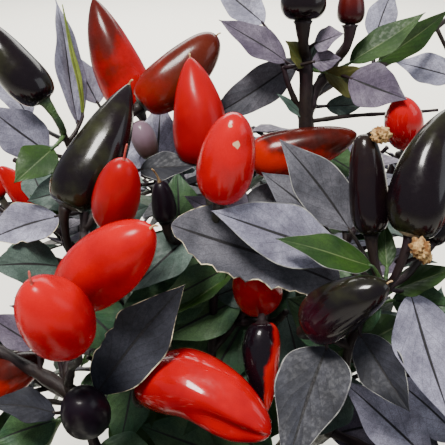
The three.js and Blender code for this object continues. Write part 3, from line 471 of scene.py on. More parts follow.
POD_SKINS = {  # the unripe colour, the ripe one and the patches, and what isn't as usual
    "red": ("a00009 b20009 70000a", {"wax": 0.12, "roughness": 0.24}),
    "red_glossy": ("a00009 b20009 70000a", {"wax": 0.6, "roughness": 0.2}),
    # a darker copy of red: partly the pods' own deeper red, partly painted shade for upright pods that face the lamp
    # overhead
    "red_deep_painted_shade": ("860006 980006 600004", {"wax": 0.15, "roughness": 0.34}),
    "red_pale": ("a00004 44120c 780804", {"start": 0.7, "lean": 0.4, "side": 0.42}),
    "brown": ("7a0c04 44120a 54200f", {"blur": 0.6, "lean": 0.25, "side": 0.4}),
    "orange": ("a01400 260a06 701808", {"blur": 0.4, "lean": 0.4, "side": 0.3, "mottle": 0.35}),
    "black": ("10080c 150b0e 241c12", {"mottle": 0.8, "roughness": 0.2, "wax": 0.5, "sharp": 2.6}),
    "black_matt": ("110810 160c16 0a0508", {"mottle": 0.6, "roughness": 0.42, "wax": 0.2}),
    "black_olive": ("0e070b 12090d 2a2c18", {"mottle": 0.8, "roughness": 0.22, "wax": 0.5, "sharp": 2.8}),
    "black_maroon": ("260812 0d070b 34361f",
                     {"start": 0.34, "blur": 0.4, "roughness": 0.2, "wax": 0.6, "sharp": 3.0}),
    "black_turning": ("0c060c a80804 2a0f14",
                      {"start": 0.7, "blur": 0.25, "lean": 0.85, "side": 0.24, "mottle": 0.2, "wax": 0.6}),
    "brown_dark": ("30080a 4c120c 1c080a", {}),
}
pod_finishes = {name: pod_finish(name, *colours.split(), **rest) for name, (colours, rest) in POD_SKINS.items()}
print(len(pod_finishes), "fruit finishes")

# %% [markdown]
# ## Shapes that repeat
# A plant is a few shapes, made many times over: a stick, a pod, a leaf, a cup. Each is modelled once, with
# ordinary modelling tools, at a plain size of its own. A copy is then bent, stretched and set in its place by
# moving its corners with arithmetic, and the copies of one kind are joined into pieces. That keeps hundreds of
# leaves light, and lets no two of them be alike.

# %% Patterns and heaps
class Pattern:
    """A shape modelled once: its corners, its faces and the finish of each face."""

    def __init__(self, model):
        mesh = model.data
        self.corners = np.array([corner.co[:] for corner in mesh.vertices])
        self.loops = np.array([loop.vertex_index for loop in mesh.loops])
        self.sizes = np.array([len(face.vertices) for face in mesh.polygons])
        self.slots = np.array([face.material_index for face in mesh.polygons])
        bpy.data.objects.remove(model)

    def __len__(self):
        return len(self.sizes)


class Heap:
    """Copies of patterns, gathered to be joined into one piece."""

    def __init__(self):
        self.corners, self.loops, self.sizes, self.slots, self.uvs = [], [], [], [], []
        self.count = 0

    def put(self, pattern, corners, uvs, slot=None):
        """Adds a copy with its corners in place (mm). It has a UV place for each corner, or for each loop."""
        self.corners.append(corners)
        self.loops.append(pattern.loops + self.count)
        self.sizes.append(pattern.sizes)
        self.slots.append(pattern.slots if slot is None else np.full(len(pattern.sizes), slot))
        self.uvs.append(uvs if len(uvs) == len(pattern.loops) else uvs[pattern.loops])
        self.count += len(corners)

    def piece(self, name, finishes, uv_name, slot, nodes):
        """Joins the copies into one piece of the plant, which stands for some nodes of the frame."""
        mesh = bpy.data.meshes.new(name)
        corners, loops = np.concatenate(self.corners), np.concatenate(self.loops)
        sizes = np.concatenate(self.sizes)
        mesh.vertices.add(len(corners))
        mesh.vertices.foreach_set("co", (corners * MM).ravel())
        mesh.loops.add(len(loops))
        mesh.loops.foreach_set("vertex_index", loops)
        mesh.polygons.add(len(sizes))
        mesh.polygons.foreach_set("loop_start", np.concatenate([[0], np.cumsum(sizes)[:-1]]))
        mesh.polygons.foreach_set("material_index", np.concatenate(self.slots))
        mesh.uv_layers.new(name=uv_name).data.foreach_set("uv", np.concatenate(self.uvs).ravel())
        for finish in finishes:
            mesh.materials.append(finish)
        mesh.update(calc_edges=True)
        mesh.validate()
        mesh.shade_smooth()
        made = bpy.data.objects.new(name, mesh)
        bpy.context.scene.collection.objects.link(made)
        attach(made, "root")
        if nodes:
            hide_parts(*nodes)


print("patterns and heaps ready")

# %% Helpers for modelling
def edit(model):
    """Selects a model alone and opens it for editing, all of it selected."""
    bpy.ops.object.select_all(action="DESELECT")
    model.select_set(True)
    bpy.context.view_layer.objects.active = model
    bpy.ops.object.mode_set(mode="EDIT")
    bpy.ops.mesh.select_all(action="SELECT")


def done():
    """Closes the edit with all faces pointing out. Returns the model."""
    bpy.ops.mesh.select_all(action="SELECT")
    bpy.ops.mesh.normals_make_consistent(inside=False)
    bpy.ops.object.mode_set(mode="OBJECT")
    return bpy.context.active_object


def chance(seed, draw):
    """A number from 0 to 1 that depends only on its two keys, so that growth is the same each time."""
    wave = math.sin(seed * 12.9898 + draw * 78.233) * 43758.5453
    return wave - math.floor(wave)


def unit(vector):
    return vector / np.linalg.norm(vector)


def turned_about(vector, axis, angle):
    """A vector turned about an axis, by the right-hand rule."""
    along = axis * (axis @ vector) * (1 - math.cos(angle))
    return vector * math.cos(angle) + np.cross(axis, vector) * math.sin(angle) + along


print("helpers for modelling ready")

# %% [markdown]
# ### Sticks
# Stem, boughs, twigs, petioles and stalks are all sticks: a round bar, bent along a line. The bar is a circle
# that is extruded upwards ring by ring. Its rings are then set square to the line, each with its own radius.

# %% Model a stick
def model_stick(sides, steps):
    """A closed bar of radius 1 and height 1, in rings."""
    bpy.ops.mesh.primitive_circle_add(vertices=sides, radius=1, fill_type="NGON")
    edit(bpy.context.active_object)
    for _ in range(steps):
        bpy.ops.mesh.extrude_region_move(TRANSFORM_OT_translate={"value": (0, 0, 1 / steps)})
    return Pattern(done())


print("stick pattern ready")

# %% Bend a stick
CURVE_STEPS = 24  # between two points, before the curve is cut to even steps


def smooth(points, steps):
    """Points evenly along a smooth curve through the points (a centripetal Catmull-Rom curve)."""
    points = [np.array(p, float) for p in points]
    ends = [2 * points[0] - points[1], *points, 2 * points[-1] - points[-2]]
    fine = []
    for a, b, c, d in zip(ends, ends[1:], ends[2:], ends[3:]):
        first, middle, last = (max(np.linalg.norm(q - p), 1e-9) ** 0.5 for p, q in ((a, b), (b, c), (c, d)))
        out = ((b - a) / first - (c - a) / (first + middle) + (c - b) / middle) * middle
        back = ((c - b) / middle - (d - b) / (middle + last) + (d - c) / last) * middle
        for t in np.linspace(0, 1, CURVE_STEPS, endpoint=False):
            fine.append(b + out * t + (3 * (c - b) - 2 * out - back) * t**2 + (2 * (b - c) + out + back) * t**3)
    fine = np.array([*fine, points[-1]])
    run = np.concatenate([[0], np.cumsum(np.linalg.norm(np.diff(fine, axis=0), axis=1))])
    marks = np.linspace(0, run[-1], steps + 1)
    return np.column_stack([np.interp(marks, run, fine[:, axis]) for axis in range(3)])


def bend_stick(pattern, line, radii, knots=0.0, key=0):
    """The corners and UVs of a stick along a line, with a radius at each of the line's points. Knots are how
    far its skin bulges, as a share of the radius."""
    steps = len(line) - 1
    ways = np.array([unit(line[min(i + 1, steps)] - line[max(i - 1, 0)]) for i in range(steps + 1)])
    across = np.array([1.0, 0, 0]) if abs(ways[0][2]) > 0.9 else UP
    sides = []
    for way in ways:
        across = unit(across - way * (across @ way))
        sides.append((across, np.cross(way, across)))
    ring = np.rint(pattern.corners[:, 2] * steps).astype(int)
    angle = np.arctan2(pattern.corners[:, 1], pattern.corners[:, 0])
    inward = np.hypot(pattern.corners[:, 0], pattern.corners[:, 1])
    radius = np.array(radii)[ring] * inward
    radius = radius * (1 + knots * np.sin(3 * angle + key + ring * 0.35) * np.sin(5 * angle - ring * 0.8 + 2 * key))
    first, second = np.array([s[0] for s in sides])[ring], np.array([s[1] for s in sides])[ring]
    corners = line[ring] + first * (radius * np.cos(angle))[:, None] + second * (radius * np.sin(angle))[:, None]
    run = np.concatenate([[0], np.cumsum(np.linalg.norm(np.diff(line, axis=0), axis=1))])
    return corners, np.column_stack([angle / (2 * math.pi) + 0.5, run[ring]])


sticks = {}


def put_stick(heap, line, radii, sides=6, slot=None, knots=0.0, key=0):
    """Adds a stick to a heap."""
    line = np.array(line)
    kind = (sides, len(line) - 1)
    if kind not in sticks:
        sticks[kind] = model_stick(*kind)
    corners, uvs = bend_stick(sticks[kind], line, radii, knots, key)
    heap.put(sticks[kind], corners, uvs, slot)


def taper(ends, count):
    return np.linspace(ends[0], ends[1], count)


print("sticks ready")

# %% [markdown]
# ### A leaf
# A chilli leaf is an oval with a drawn-out tip. The pattern is a grid: along it run the margin, the blade and the
# midrib, so that each strip can have its own finish. The grid gets a thickness, and the midrib is pulled out below,
# as a real one stands out under the blade.

# %% Model a leaf
LEAF_WIDEST = 0.42  # where along it a leaf is widest
BLADE, MIDRIB, RIM = 0, 1, 2


def blade_outline(along, widest):
    """Half the width of a leaf along it, as a share of its widest."""
    swell = 1 - (1 - np.clip(along / widest, 0, 1)) ** 2
    fall = np.clip((along - widest) / (1 - widest), 0, 1)
    return swell**0.75 * (1 - fall**1.75) ** 1.3


def model_leaf(steps, strips, rib=0.035, rim=0.965):
    """A thin closed blade: X runs along it from 0 to 1, Y across from -1 to 1, and Z is its thickness."""
    bpy.ops.mesh.primitive_grid_add(x_subdivisions=steps, y_subdivisions=2 * strips, size=2)
    model = bpy.context.active_object
    spread = np.concatenate([[-1, -rim], np.linspace(-rim, -rib, strips - 1)[1:], [0]])
    spread = np.concatenate([spread, -spread[::-1][1:]])
    for corner in model.data.vertices:
        x, y = (corner.co.x + 1) / 2, corner.co.y
        corner.co.x = 0.5 - 0.5 * math.cos(math.pi * (0.04 + 0.96 * x)) if x < 0.999 else 1.0
        corner.co.y = spread[round((y + 1) * strips)]
    edit(model)
    bpy.ops.mesh.extrude_region_move(TRANSFORM_OT_translate={"value": (0, 0, 1)})
    done()
    for face in model.data.polygons:
        reach = abs(face.center.y)
        flat = abs(face.normal.z) > 0.5
        face.material_index = MIDRIB if flat and reach < rib else RIM if reach > rim - 1e-4 else BLADE
    return Pattern(model)


near_leaf = model_leaf(44, 6, rib=0.04)
far_leaf = model_leaf(7, 3, rib=0.05)
print("leaf patterns of", len(near_leaf), "and", len(far_leaf), "faces")

# %% [markdown]
# ### Setting a leaf in place
# A blade is folded a little along its midrib, droops towards its tip, and its margin waves. Some blades are
# twisted, and some were bitten: there the outline steps in, and the rim is dry.

# %% Place a leaf
LEAF_THICKNESS = 0.34
LEAF_ARCH = 0.08  # how far the tip bends down, over the length
LEAF_FOLD = 0.14  # how far the edges rise from the midrib, over the width
OUTLINE_WAVE = 0.035  # how far the outline strays, over the width
EDGE_WAVE = 0.035  # how far the margin goes up and down, over the width
MIDRIB_GROOVE = 0.02  # how deep the midrib lies on the upper face, over the width
MIDRIB_BELOW = 0.8  # mm that the midrib stands out below, at the foot
MOST_TWIST = 0.15  # radians at the tip
MOST_SWAY = 0.025  # of the blade to a side, over the length


def shape_leaf(pattern, foot, tip, width, facing, key, arch=LEAF_ARCH, fold=LEAF_FOLD, bites=(),
               widest=LEAF_WIDEST, pointed=1.0):
    """The corners and UVs of a leaf from its foot to its tip (mm), with its upper face to the way that it faces."""
    length = np.linalg.norm(tip - foot)
    blade = (tip - foot) / length
    upper = unit(facing - blade * (facing @ blade))
    across = np.cross(blade, upper)
    x, y, z = pattern.corners.T
    half = blade_outline(x, widest) ** pointed * width / 2
    half = half * (1 + OUTLINE_WAVE * np.sin(17 * x + 6 * chance(key, 1) + 3 * np.sign(y)))
    for place, side, depth, wide in bites:
        near = np.clip(1 - np.abs(x - place) / wide, 0, 1) ** 0.6
        ragged = 0.85 + 0.3 * np.sin(83 * x + 31 * place) * np.sin(37 * x)
        half = half * np.where(y * side > 0, 1 - depth * near * ragged, 1)
    reach = np.abs(y)
    rise = fold * reach * half + arch * length * (-(x**2) + 0.12 * np.sin(6.5 * x + 9 * chance(key, 2)))
    wave = np.sin(13 * x + 2.2 * np.sign(y) + 7 * chance(key, 3)) * np.sin(math.pi * x)
    rise += EDGE_WAVE * width * reach**2 * wave
    rise -= MIDRIB_GROOVE * width * np.exp(-((reach / 0.16) ** 2)) * np.sin(math.pi * np.clip(x, 0, 1)) ** 0.5
    thick = LEAF_THICKNESS * (0.35 + 0.65 * (1 - reach**4))
    rise += (z - 0.5) * thick - (z < 0.5) * (reach < 0.05) * MIDRIB_BELOW * (1 - 0.75 * x)
    twist = 2 * MOST_TWIST * (chance(key, 4) - 0.5) * x
    side = y * half
    sway = 2 * MOST_SWAY * length * (chance(key, 5) - 0.5) * np.sin(math.pi * x)
    corners = foot + blade * (x * length)[:, None]
    corners = corners + across * (side * np.cos(twist) + sway)[:, None]
    corners = corners + upper * (rise + side * np.sin(twist))[:, None]
    return corners, np.column_stack([x, 0.5 + y / 2])


print("a leaf is", LEAF_THICKNESS, "mm thick at its midrib")

# %% [markdown]
# ### A pod
# The fruit is a berry with three or four chambers: a round shoulder, a long taper, and shallow furrows between the
# chambers. A sphere has the right net of faces, so its rings are set to the outline of each pod.

# %% Model a pod
def model_pod(segments, rings):
    """A sphere whose Z runs from 0 at the base to 1 at the tip."""
    bpy.ops.mesh.primitive_uv_sphere_add(segments=segments, ring_count=rings, radius=0.5, location=(0, 0, 0.5))
    bpy.ops.object.transform_apply(location=True)
    edit(bpy.context.active_object)
    return Pattern(done())


def pod_uvs(pattern):
    """For each loop, how far round the pod it is (0.5 faces the eye) and how far along."""
    x, y, along = pattern.corners.T
    around = np.arctan2(y, x) / (2 * math.pi) + 0.5
    pole = np.hypot(x, y) < 1e-6
    uvs = np.column_stack([around, along])[pattern.loops]
    start = 0
    for size in pattern.sizes:
        face = slice(start, start + size)
        start += size
        turns = uvs[face, 0]
        live = ~pole[pattern.loops[face]]
        if np.ptp(turns[live]) > 0.5:
            turns = np.where(turns < 0.5, turns + 1, turns)
        turns[~live] = turns[live].mean()
        uvs[face, 0] = turns
    return uvs


near_pod = model_pod(36, 32)
near_pod_uvs = pod_uvs(near_pod)
far_pod = model_pod(14, 12)
far_pod_uvs = pod_uvs(far_pod)
print("pod patterns of", len(near_pod), "and", len(far_pod), "faces")

# %% Shape a pod
SHOULDER = 0.26  # where along it a fruit is widest
DENT_SPREAD = 0.6  # radians round the fruit, for a dent that isn't a crease
POD_LOBES = 0.025  # how far the three chambers bulge, over the radius
POD_RIPPLE = 0.008  # how uneven the skin is, over the radius
BROAD_BASE = 0.42  # how broad a base is, over the widest


def pod_outline(along, bluntness, broad, widest):
    """How wide a pod is along it, as a share of its widest."""
    shoulder = np.sqrt(1 - (1 - np.minimum(along / widest, 1)) ** 2)
    tapered = (1 - np.clip((along - widest) / (1 - widest), 0, 1) ** 1.9) ** (1 / bluntness)
    return (broad + (1 - broad) * shoulder) * tapered


def shape_pod(pattern, base, tip, width, blunt, broad=BROAD_BASE, bow=0.0, sag=0.0, widest=SHOULDER,
              dents=(), key=0):
    """The corners of a pod. It bows by so many mm to the side, and by its sag towards the eye."""
    length = np.linalg.norm(tip - base)
    axis = (tip - base) / length
    toward = EYE - (base + tip) / 2
    toward = unit(toward - axis * (toward @ axis))
    aside = np.cross(axis, toward)
    x, y, along = pattern.corners.T
    angle = np.arctan2(y, x)
    off_pole = np.where(np.hypot(x, y) < 1e-6, 0, 1)
    radius = width / 2 * pod_outline(along, blunt, broad, widest) * off_pole
    turn = 6.3 * chance(key, 1)
    radius = radius * (1 + POD_LOBES * np.cos(3 * angle + turn + 0.8 * along) * (1 - along**2) - POD_LOBES * 0.4)
    for place, side, depth, wide, *narrow in dents:
        round_off = np.angle(np.exp(1j * (angle - side)))
        spread = narrow[0] if narrow else DENT_SPREAD
        fading = np.exp(-((along - place) ** 2) / (2 * wide**2) - (round_off / spread) ** 2)
        radius = radius - depth * off_pole * fading
    radius = radius * (1 + POD_RIPPLE * np.sin(5 * angle + 9 * along + turn) * np.sin(11 * along + turn))
    curve = np.sin(math.pi * along)
    corners = base + axis * (along * length)[:, None]
    corners = corners + toward * (radius * np.cos(angle) + sag * curve)[:, None]
    return corners + aside * (radius * np.sin(angle) + bow * curve)[:, None]


print("pod shape ready")

# %% [markdown]
# ### A calyx
# Each pod sits in a small green cup with five short points. The cup is a circle, extruded and widened into a bowl
# with a thick edge, and its rim is pulled up at five places.

# %% Model a calyx
def model_calyx(sides=20, points=5):
    """A bowl on a stalk end: Z from 0 below to about 1 at its points, radius 1 at the rim."""
    bpy.ops.mesh.primitive_circle_add(vertices=sides, radius=0.3, fill_type="NGON")
    edit(bpy.context.active_object)
    outside = [(0.3, 0.35), (0.62, 0.25), (0.9, 0.22), (1.0, 0.15)]
    inside = [(0.93, 0.02), (0.7, -0.32), (0.3, -0.12)]
    was = 0.3
    for radius, rise in outside + inside:
        bpy.ops.mesh.extrude_region_move(TRANSFORM_OT_translate={"value": (0, 0, rise)})
        bpy.ops.transform.resize(value=(radius / was, radius / was, 1))
        was = radius
    model = done()
    for corner in model.data.vertices:
        reach = math.hypot(corner.co.x, corner.co.y)
        if reach > 0.8:
            wave = math.cos(points * math.atan2(corner.co.y, corner.co.x))
            corner.co.z += 0.22 * max(wave, -0.4) * (reach - 0.7)
    return Pattern(model)


calyx = model_calyx()
CALYX_SUNK = 0.72  # how much of its height lies below a pod's base
CALYX_GRAIN = 3  # how often its finish repeats over it


def shape_calyx(base, tip, radius, height, key):
    """The corners of a calyx around a pod's base."""
    axis = unit(tip - base)
    aside = unit(np.cross(axis, UP + 0.01))
    other = np.cross(axis, aside)
    angle = 6.3 * chance(key, 7)
    x, y, z = calyx.corners.T
    across = (x * math.cos(angle) - y * math.sin(angle)) * radius
    over = (x * math.sin(angle) + y * math.cos(angle)) * radius
    return base + aside * across[:, None] + other * over[:, None] + axis * ((z - CALYX_SUNK) * height)[:, None]


def put_calyx(heap, base, tip, radius, height, key, slot):
    heap.put(calyx, shape_calyx(base, tip, radius, height, key), calyx.corners[:, :2] * CALYX_GRAIN, slot)


print("calyx pattern of", len(calyx), "faces")

# %% [markdown]
# ## Stem, limbs and boughs
# The stem leans and sways a little, spreads at its foot, and swells where it forks low down into four limbs. Each
# limb forks again into boughs. They are tapering sticks on the frame's own lines. Corky ridges run along them as
# true relief, and the finish adds the fine cracks.

# %% Places of the wood
FIRST_FORK = (3, -2, 118)
LIMBS = {"front": (-7, -34, 168), "left": (-36, 8, 164), "right": (36, -6, 170), "back": (3, 36, 166)}
BOUGHS = {  # the limb that it leaves, and where it ends
    "low_left": ("front", (-68, -70, 174)),
    "low_right": ("right", (68, -66, 176)),
    "left": ("left", (-86, -10, 204)),
    "back_left": ("left", (-62, 56, 212)),
    "right": ("right", (86, -8, 204)),
    "top_back": ("back", (-6, 36, 240)),
    "back_right": ("back", (60, 58, 212)),
    "back": ("back", (-4, 86, 206)),
    "low_front": ("front", (-10, -78, 170)),
    "mid_left": ("left", (-40, -6, 196)),
    "mid_right": ("right", (46, 6, 200)),
}
NEAR_BOUGHS = {  # the limb, and where the shoot's stem is seen to start
    "front_left": ("front", (96, 448, 272)),
    "front_centre": ("front", (205, 425, 304)),
    "front_right": ("right", (330, 432, 284)),
    "top_right": ("right", (322, 240, 322)),
}
BOUGHS.update({name: (limb, tuple(seen(place))) for name, (limb, place) in NEAR_BOUGHS.items()})
STEM_FOOT, STEM_TOP = 7.5, 5.2  # the stem's radius at the ground and at its fork
FLARE, FLARE_HEIGHT = 4.5, 16  # how much wider its foot is, and up to what height
SWELLING = {"size": 0.9, "below": 4, "length": 9}  # of the stem, below its fork
LIMB_RADII, BOUGH_RADII, SHOOT_RADII = (4.3, 3.5), (3.2, 2.2), (2.0, 1.3)  # where each starts and ends
LIMB_STEPS = 24
BOUGH_NODES = 0.09  # how far a bough swells where leaves once stood, over its radius
BOUGH_BOW = 0.1  # a bough bows outwards by this share of its length


def limb_line(start, end):
    start, end = np.array(start, float), np.array(end, float)
    return [start, (start + end) / 2 + np.array([*(end - start)[:2], 0]) * BOUGH_BOW, end]


print(len(LIMBS), "limbs and", len(BOUGHS), "boughs")

# %% Build the wood
stem_line = smooth([(0, 0, 0), (-1, 1, 40), (2, 0, 84), FIRST_FORK], 60)
height = stem_line[:, 2]
stem_radii = STEM_FOOT + (STEM_TOP - STEM_FOOT) * height / FIRST_FORK[2]
stem_radii = stem_radii + FLARE * np.clip(1 - height / FLARE_HEIGHT, 0, 1) ** 2
from_swelling = (FIRST_FORK[2] - SWELLING["below"] - height) / SWELLING["length"]
stem_radii = stem_radii + SWELLING["size"] * np.exp(-(from_swelling**2))
wood = Heap()
put_stick(wood, stem_line, stem_radii, sides=40, knots=0.045)
wood.piece("main_stem_bark", [bark], "grain", "bark", ["main_stem"])
for key, (name, end) in enumerate(LIMBS.items()):
    wood = Heap()
    line = smooth(limb_line(FIRST_FORK, end), LIMB_STEPS)
    put_stick(wood, line, taper(LIMB_RADII, len(line)), sides=20, knots=0.05, key=key)
    wood.piece(f"limb_{name}_bark", [limb_bark], "grain", "bark", [f"limb_{name}"])
for key, (name, (limb, end)) in enumerate(BOUGHS.items()):
    wood = Heap()
    line = smooth(limb_line(LIMBS[limb], end), LIMB_STEPS)
    swollen = 1 + BOUGH_NODES * np.cos(np.linspace(0, 4 * math.pi, len(line))) ** 12
    put_stick(wood, line, taper(BOUGH_RADII, len(line)) * swollen, sides=14, knots=0.05, key=key + 9)
    wood.piece(f"bough_{name}_wood", [green_wood], "grain", "green_wood", [f"bough_{name}"])
print("the stem is", round(2 * stem_radii[0]), "mm across at the ground")

# %% [markdown]
# ## The near side
# These shoots, leaves and pods are placed as they are seen. A row for a leaf gives where its blade starts and
# ends, its width, how far it is turned from facing the eye, its finish, and any wear. A row for a pod gives its
# base and tip, its width in mm, and how full it is towards the tip.

# %% Pods on the near side
PODS = {
    "shoot_left": {
        "black_far_left": ((44, 100, 268), (-18, 20, 262), 17.5, 1.6),
        "black_left": ((67, 206, 248), (130, 83, 256), 22, 1.2),
        "red_top_left": ((140, 112, 306), (93, -2, 298), 22.5, 1.3),
        "brown_top": ((142, 104, 281), (217, 36, 280), 21, 2.2),
        "red_left": ((68, 296, 244), (151, 228, 220), 25, 1.7),
        "red_upright": ((111, 225, 243), (124, 160, 226), 16.5, 2.2),
        "red_low_left": ((70, 342, 226), (31, 285, 202), 24, 1.8),
        "black_bud": ((90, 424, 250), (80, 398, 232), 17.5, 2.6),
        "red_far_left": ((-25, 392, 276), (44, 356, 270), 19, 1.6),
    },
    "shoot_centre": {
        "red_centre": ((203, 163, 268), (190, 57, 262), 21.5, 1.4),
        "red_scarred": ((220, 198, 246), (236, 113, 230), 20.5, 2.0),
        "orange_far": ((252, 160, 292), (357, 134, 286), 20, 1.7),
        "black_young": ((166, 221, 264), (160, 181, 258), 9.5, 2.6),
        "red_centre_low": ((262, 300, 284), (247, 273, 262), 19.5, 2.4),
        "red_large": ((152, 374, 262), (270, 434, 240), 28, 1.9),
        "turning_low": ((262, 323, 258), (267, 412, 256), 14.5, 1.3),
    },
    "shoot_right": {
        "black_slim": ((371, 233, 252), (364, 134, 248), 14.5, 3.0),
        "black_right": ((411, 235, 242), (450, 108, 242), 22, 1.5),
        "black_lying": ((309, 327, 252), (388, 284, 232), 20, 1.9),
        "black_edge": ((430, 242, 260), (458, 192, 266), 11, 2.0),
    },
    "shoot_top_right": {
        "black_top": ((303, 20, 276), (303, -42, 270), 18.5, 1.8),
        "turning_top": ((350, 24, 284), (352, -18, 280), 11.5, 2.0),
        "red_small": ((405, 144, 286), (402, 98, 270), 16, 1.7),
    },
}
print(sum(len(pods) for pods in PODS.values()), "near pods")

# %% Twigs and leaves on the near side
NEAR_SHOOTS = {
    "shoot_left": {
        "twigs": [
            [(96, 448, 272), (80, 405, 264), (68, 383, 256), (72, 335, 268), (74, 290, 272)],
            [(68, 383, 256), (72, 366, 242)],
            [(74, 290, 272), (70, 250, 258)],
            [(74, 290, 272), (84, 230, 286), (78, 170, 284), (63, 132, 276)],
            [(84, 230, 286), (118, 180, 300), (136, 140, 308)],
            [(70, 390, 260), (30, 368, 266), (-24, 338, 274)],
        ],
        "leaves": [
            # the two darkest slate leaves here carry painted shade in their colour, as well as their own deeper tone
            ((97, 393, 250), (183, 287, 236), 24, 12, "dark_slate", "dry"),
            ((140, 170, 268), (196, 163, 262), 14, -20, "dark_slate", "rim"),
            ((78, 124, 284), (64, -4, 290), 18, 50, "lilac"),
            ((98, 104, 312), (70, 50, 316), 17, 20, "lilac"),
            ((48, 152, 276), (-14, 106, 264), 19, -15, "lilac"),
            ((53, 148, 268), (14, 180, 254), 16, 10, "green"),
            ((58, 216, 270), (-16, 236, 252), 21, 25, "lilac", "hole"),
            ((60, 266, 268), (-8, 264, 248), 20, 0, "green_grey"),
            ((30, 118, 296), (-10, 62, 300), 15, 20, "lilac"),
            # darker slate: partly painted shade
            ((56, 413, 256), (-10, 400, 244), 15, 25, "dark_slate"),
            ((56, 420, 270), (-8, 442, 256), 17, -10, "deep_green"),
            ((36, 346, 264), (-12, 314, 256), 15, 20, "purple"),
            ((90, 245, 290), (150, 285, 282), 20, -10, "green_grey"),
        ],
    },
    "shoot_centre": {
        "twigs": [
            [(205, 425, 304), (212, 350, 300), (214, 280, 294), (214, 238, 284), (214, 215, 272)],
            [(214, 280, 294), (238, 215, 304), (244, 180, 304)],
            [(214, 238, 284), (185, 245, 278), (168, 238, 272)],
            [(212, 350, 300), (236, 322, 300), (252, 308, 296)],
            [(236, 322, 300), (272, 322, 292), (286, 312, 276)],
            [(208, 400, 303), (168, 395, 292), (128, 368, 282)],
        ],
        "leaves": [
            ((196, 232, 278), (124, 290, 262), 21, 20, "green_grey"),
            ((180, 240, 290), (178, 170, 290), 20, 10, "deep_green"),
            ((262, 236, 290), (186, 196, 274), 17, -10, "purple"),
            ((240, 300, 300), (158, 338, 288), 25, 15, "deep_green"),
            ((226, 268, 292), (156, 306, 278), 19, -40, "deep_green"),
            ((215, 452, 294), (140, 424, 286), 20, 0, "deep_green"),
            ((112, 446, 288), (158, 398, 290), 18, 15, "green"),
            ((262, 352, 306), (290, 268, 294), 20, -15, "green_grey"),
            ((198, 240, 300), (150, 132, 312), 19, 30, "slate"),
        ],
    },
    "shoot_right": {
        "twigs": [
            [(330, 432, 284), (342, 385, 276), (350, 345, 268), (366, 312, 262), (384, 288, 254)],
            [(350, 345, 268), (328, 338, 264), (320, 336, 262)],
            [(330, 432, 284), (380, 452, 286), (436, 468, 286)],
        ],
        "leaves": [
            # the two darkest slate leaves here carry painted shade in their colour, as well as their own deeper tone
            ((327, 347, 254), (283, 478, 232), 27, 4, "dark_slate", "rim"),
            ((360, 334, 256), (409, 413, 242), 18, 20, "dark_slate", "rim"),
            ((410, 294, 258), (456, 424, 240), 27, -20, "lilac"),
            ((344, 259, 256), (216, 207, 236), 24, 10, "lilac", "rim"),
            ((350, 230, 264), (280, 139, 256), 20, -8, "slate", "rim"),
            ((372, 266, 244), (280, 234, 234), 14.5, 20, "green", "rim"),
            ((387, 268, 254), (386, 222, 258), 7.5, 0, "green"),
            ((340, 284, 266), (178, 219, 241), 28, 12, "slate", "bitten"),
            ((322, 222, 284), (264, 170, 278), 18, 15, "slate"),
            ((392, 291, 260), (456, 266, 252), 14, -25, "green"),
            ((392, 300, 266), (458, 306, 256), 17, 10, "deep_green"),
            ((430, 462, 274), (344, 380, 268), 22, 0, "lilac"),
            ((462, 440, 282), (392, 372, 278), 20, 10, "lilac"),
        ],
    },
    "shoot_top_right": {
        "twigs": [
            [(322, 240, 322), (312, 180, 308), (306, 122, 296), (306, 70, 290), (304, 46, 286)],
            [(306, 122, 296), (350, 116, 298), (415, 112, 298), (438, 110, 298)],
            [(306, 118, 296), (316, 90, 295), (334, 64, 292), (348, 42, 290)],
            [(308, 132, 298), (298, 108, 296), (289, 86, 292), (283, 66, 290)],
            [(306, 100, 294), (345, 76, 304), (388, 62, 310), (446, 20, 318)],
        ],
        "leaves": [
            ((286, 62, 290), (221, 17, 282), 15, 20, "purple"),
            ((298, 60, 302), (204, 122, 296), 17, -25, "slate"),
            ((264, 24, 316), (214, -18, 322), 17, 10, "lilac"),
            ((350, 63, 294), (424, 9, 284), 15, -20, "green"),
            ((378, 62, 308), (452, 10, 300), 13, 35, "green"),
            ((350, 78, 284), (405, 98, 264), 19, 10, "purple"),
            ((325, 72, 290), (392, 97, 280), 13, 35, "olive"),
            ((314, 44, 282), (342, 32, 272), 12, -20, "purple"),
            ((312, 62, 282), (341, 58, 276), 9, 10, "purple"),
            ((304, 66, 288), (288, 40, 278), 12, 40, "olive"),
            ((326, 106, 300), (366, 103, 296), 9, 20, "green_grey"),
            ((456, 78, 322), (396, 60, 326), 17, 15, "lilac"),
            ((374, 42, 310), (394, -14, 308), 14, 0, "lilac"),
        ],
    },
}
print(sum(len(shoot["leaves"]) for shoot in NEAR_SHOOTS.values()), "near leaves")
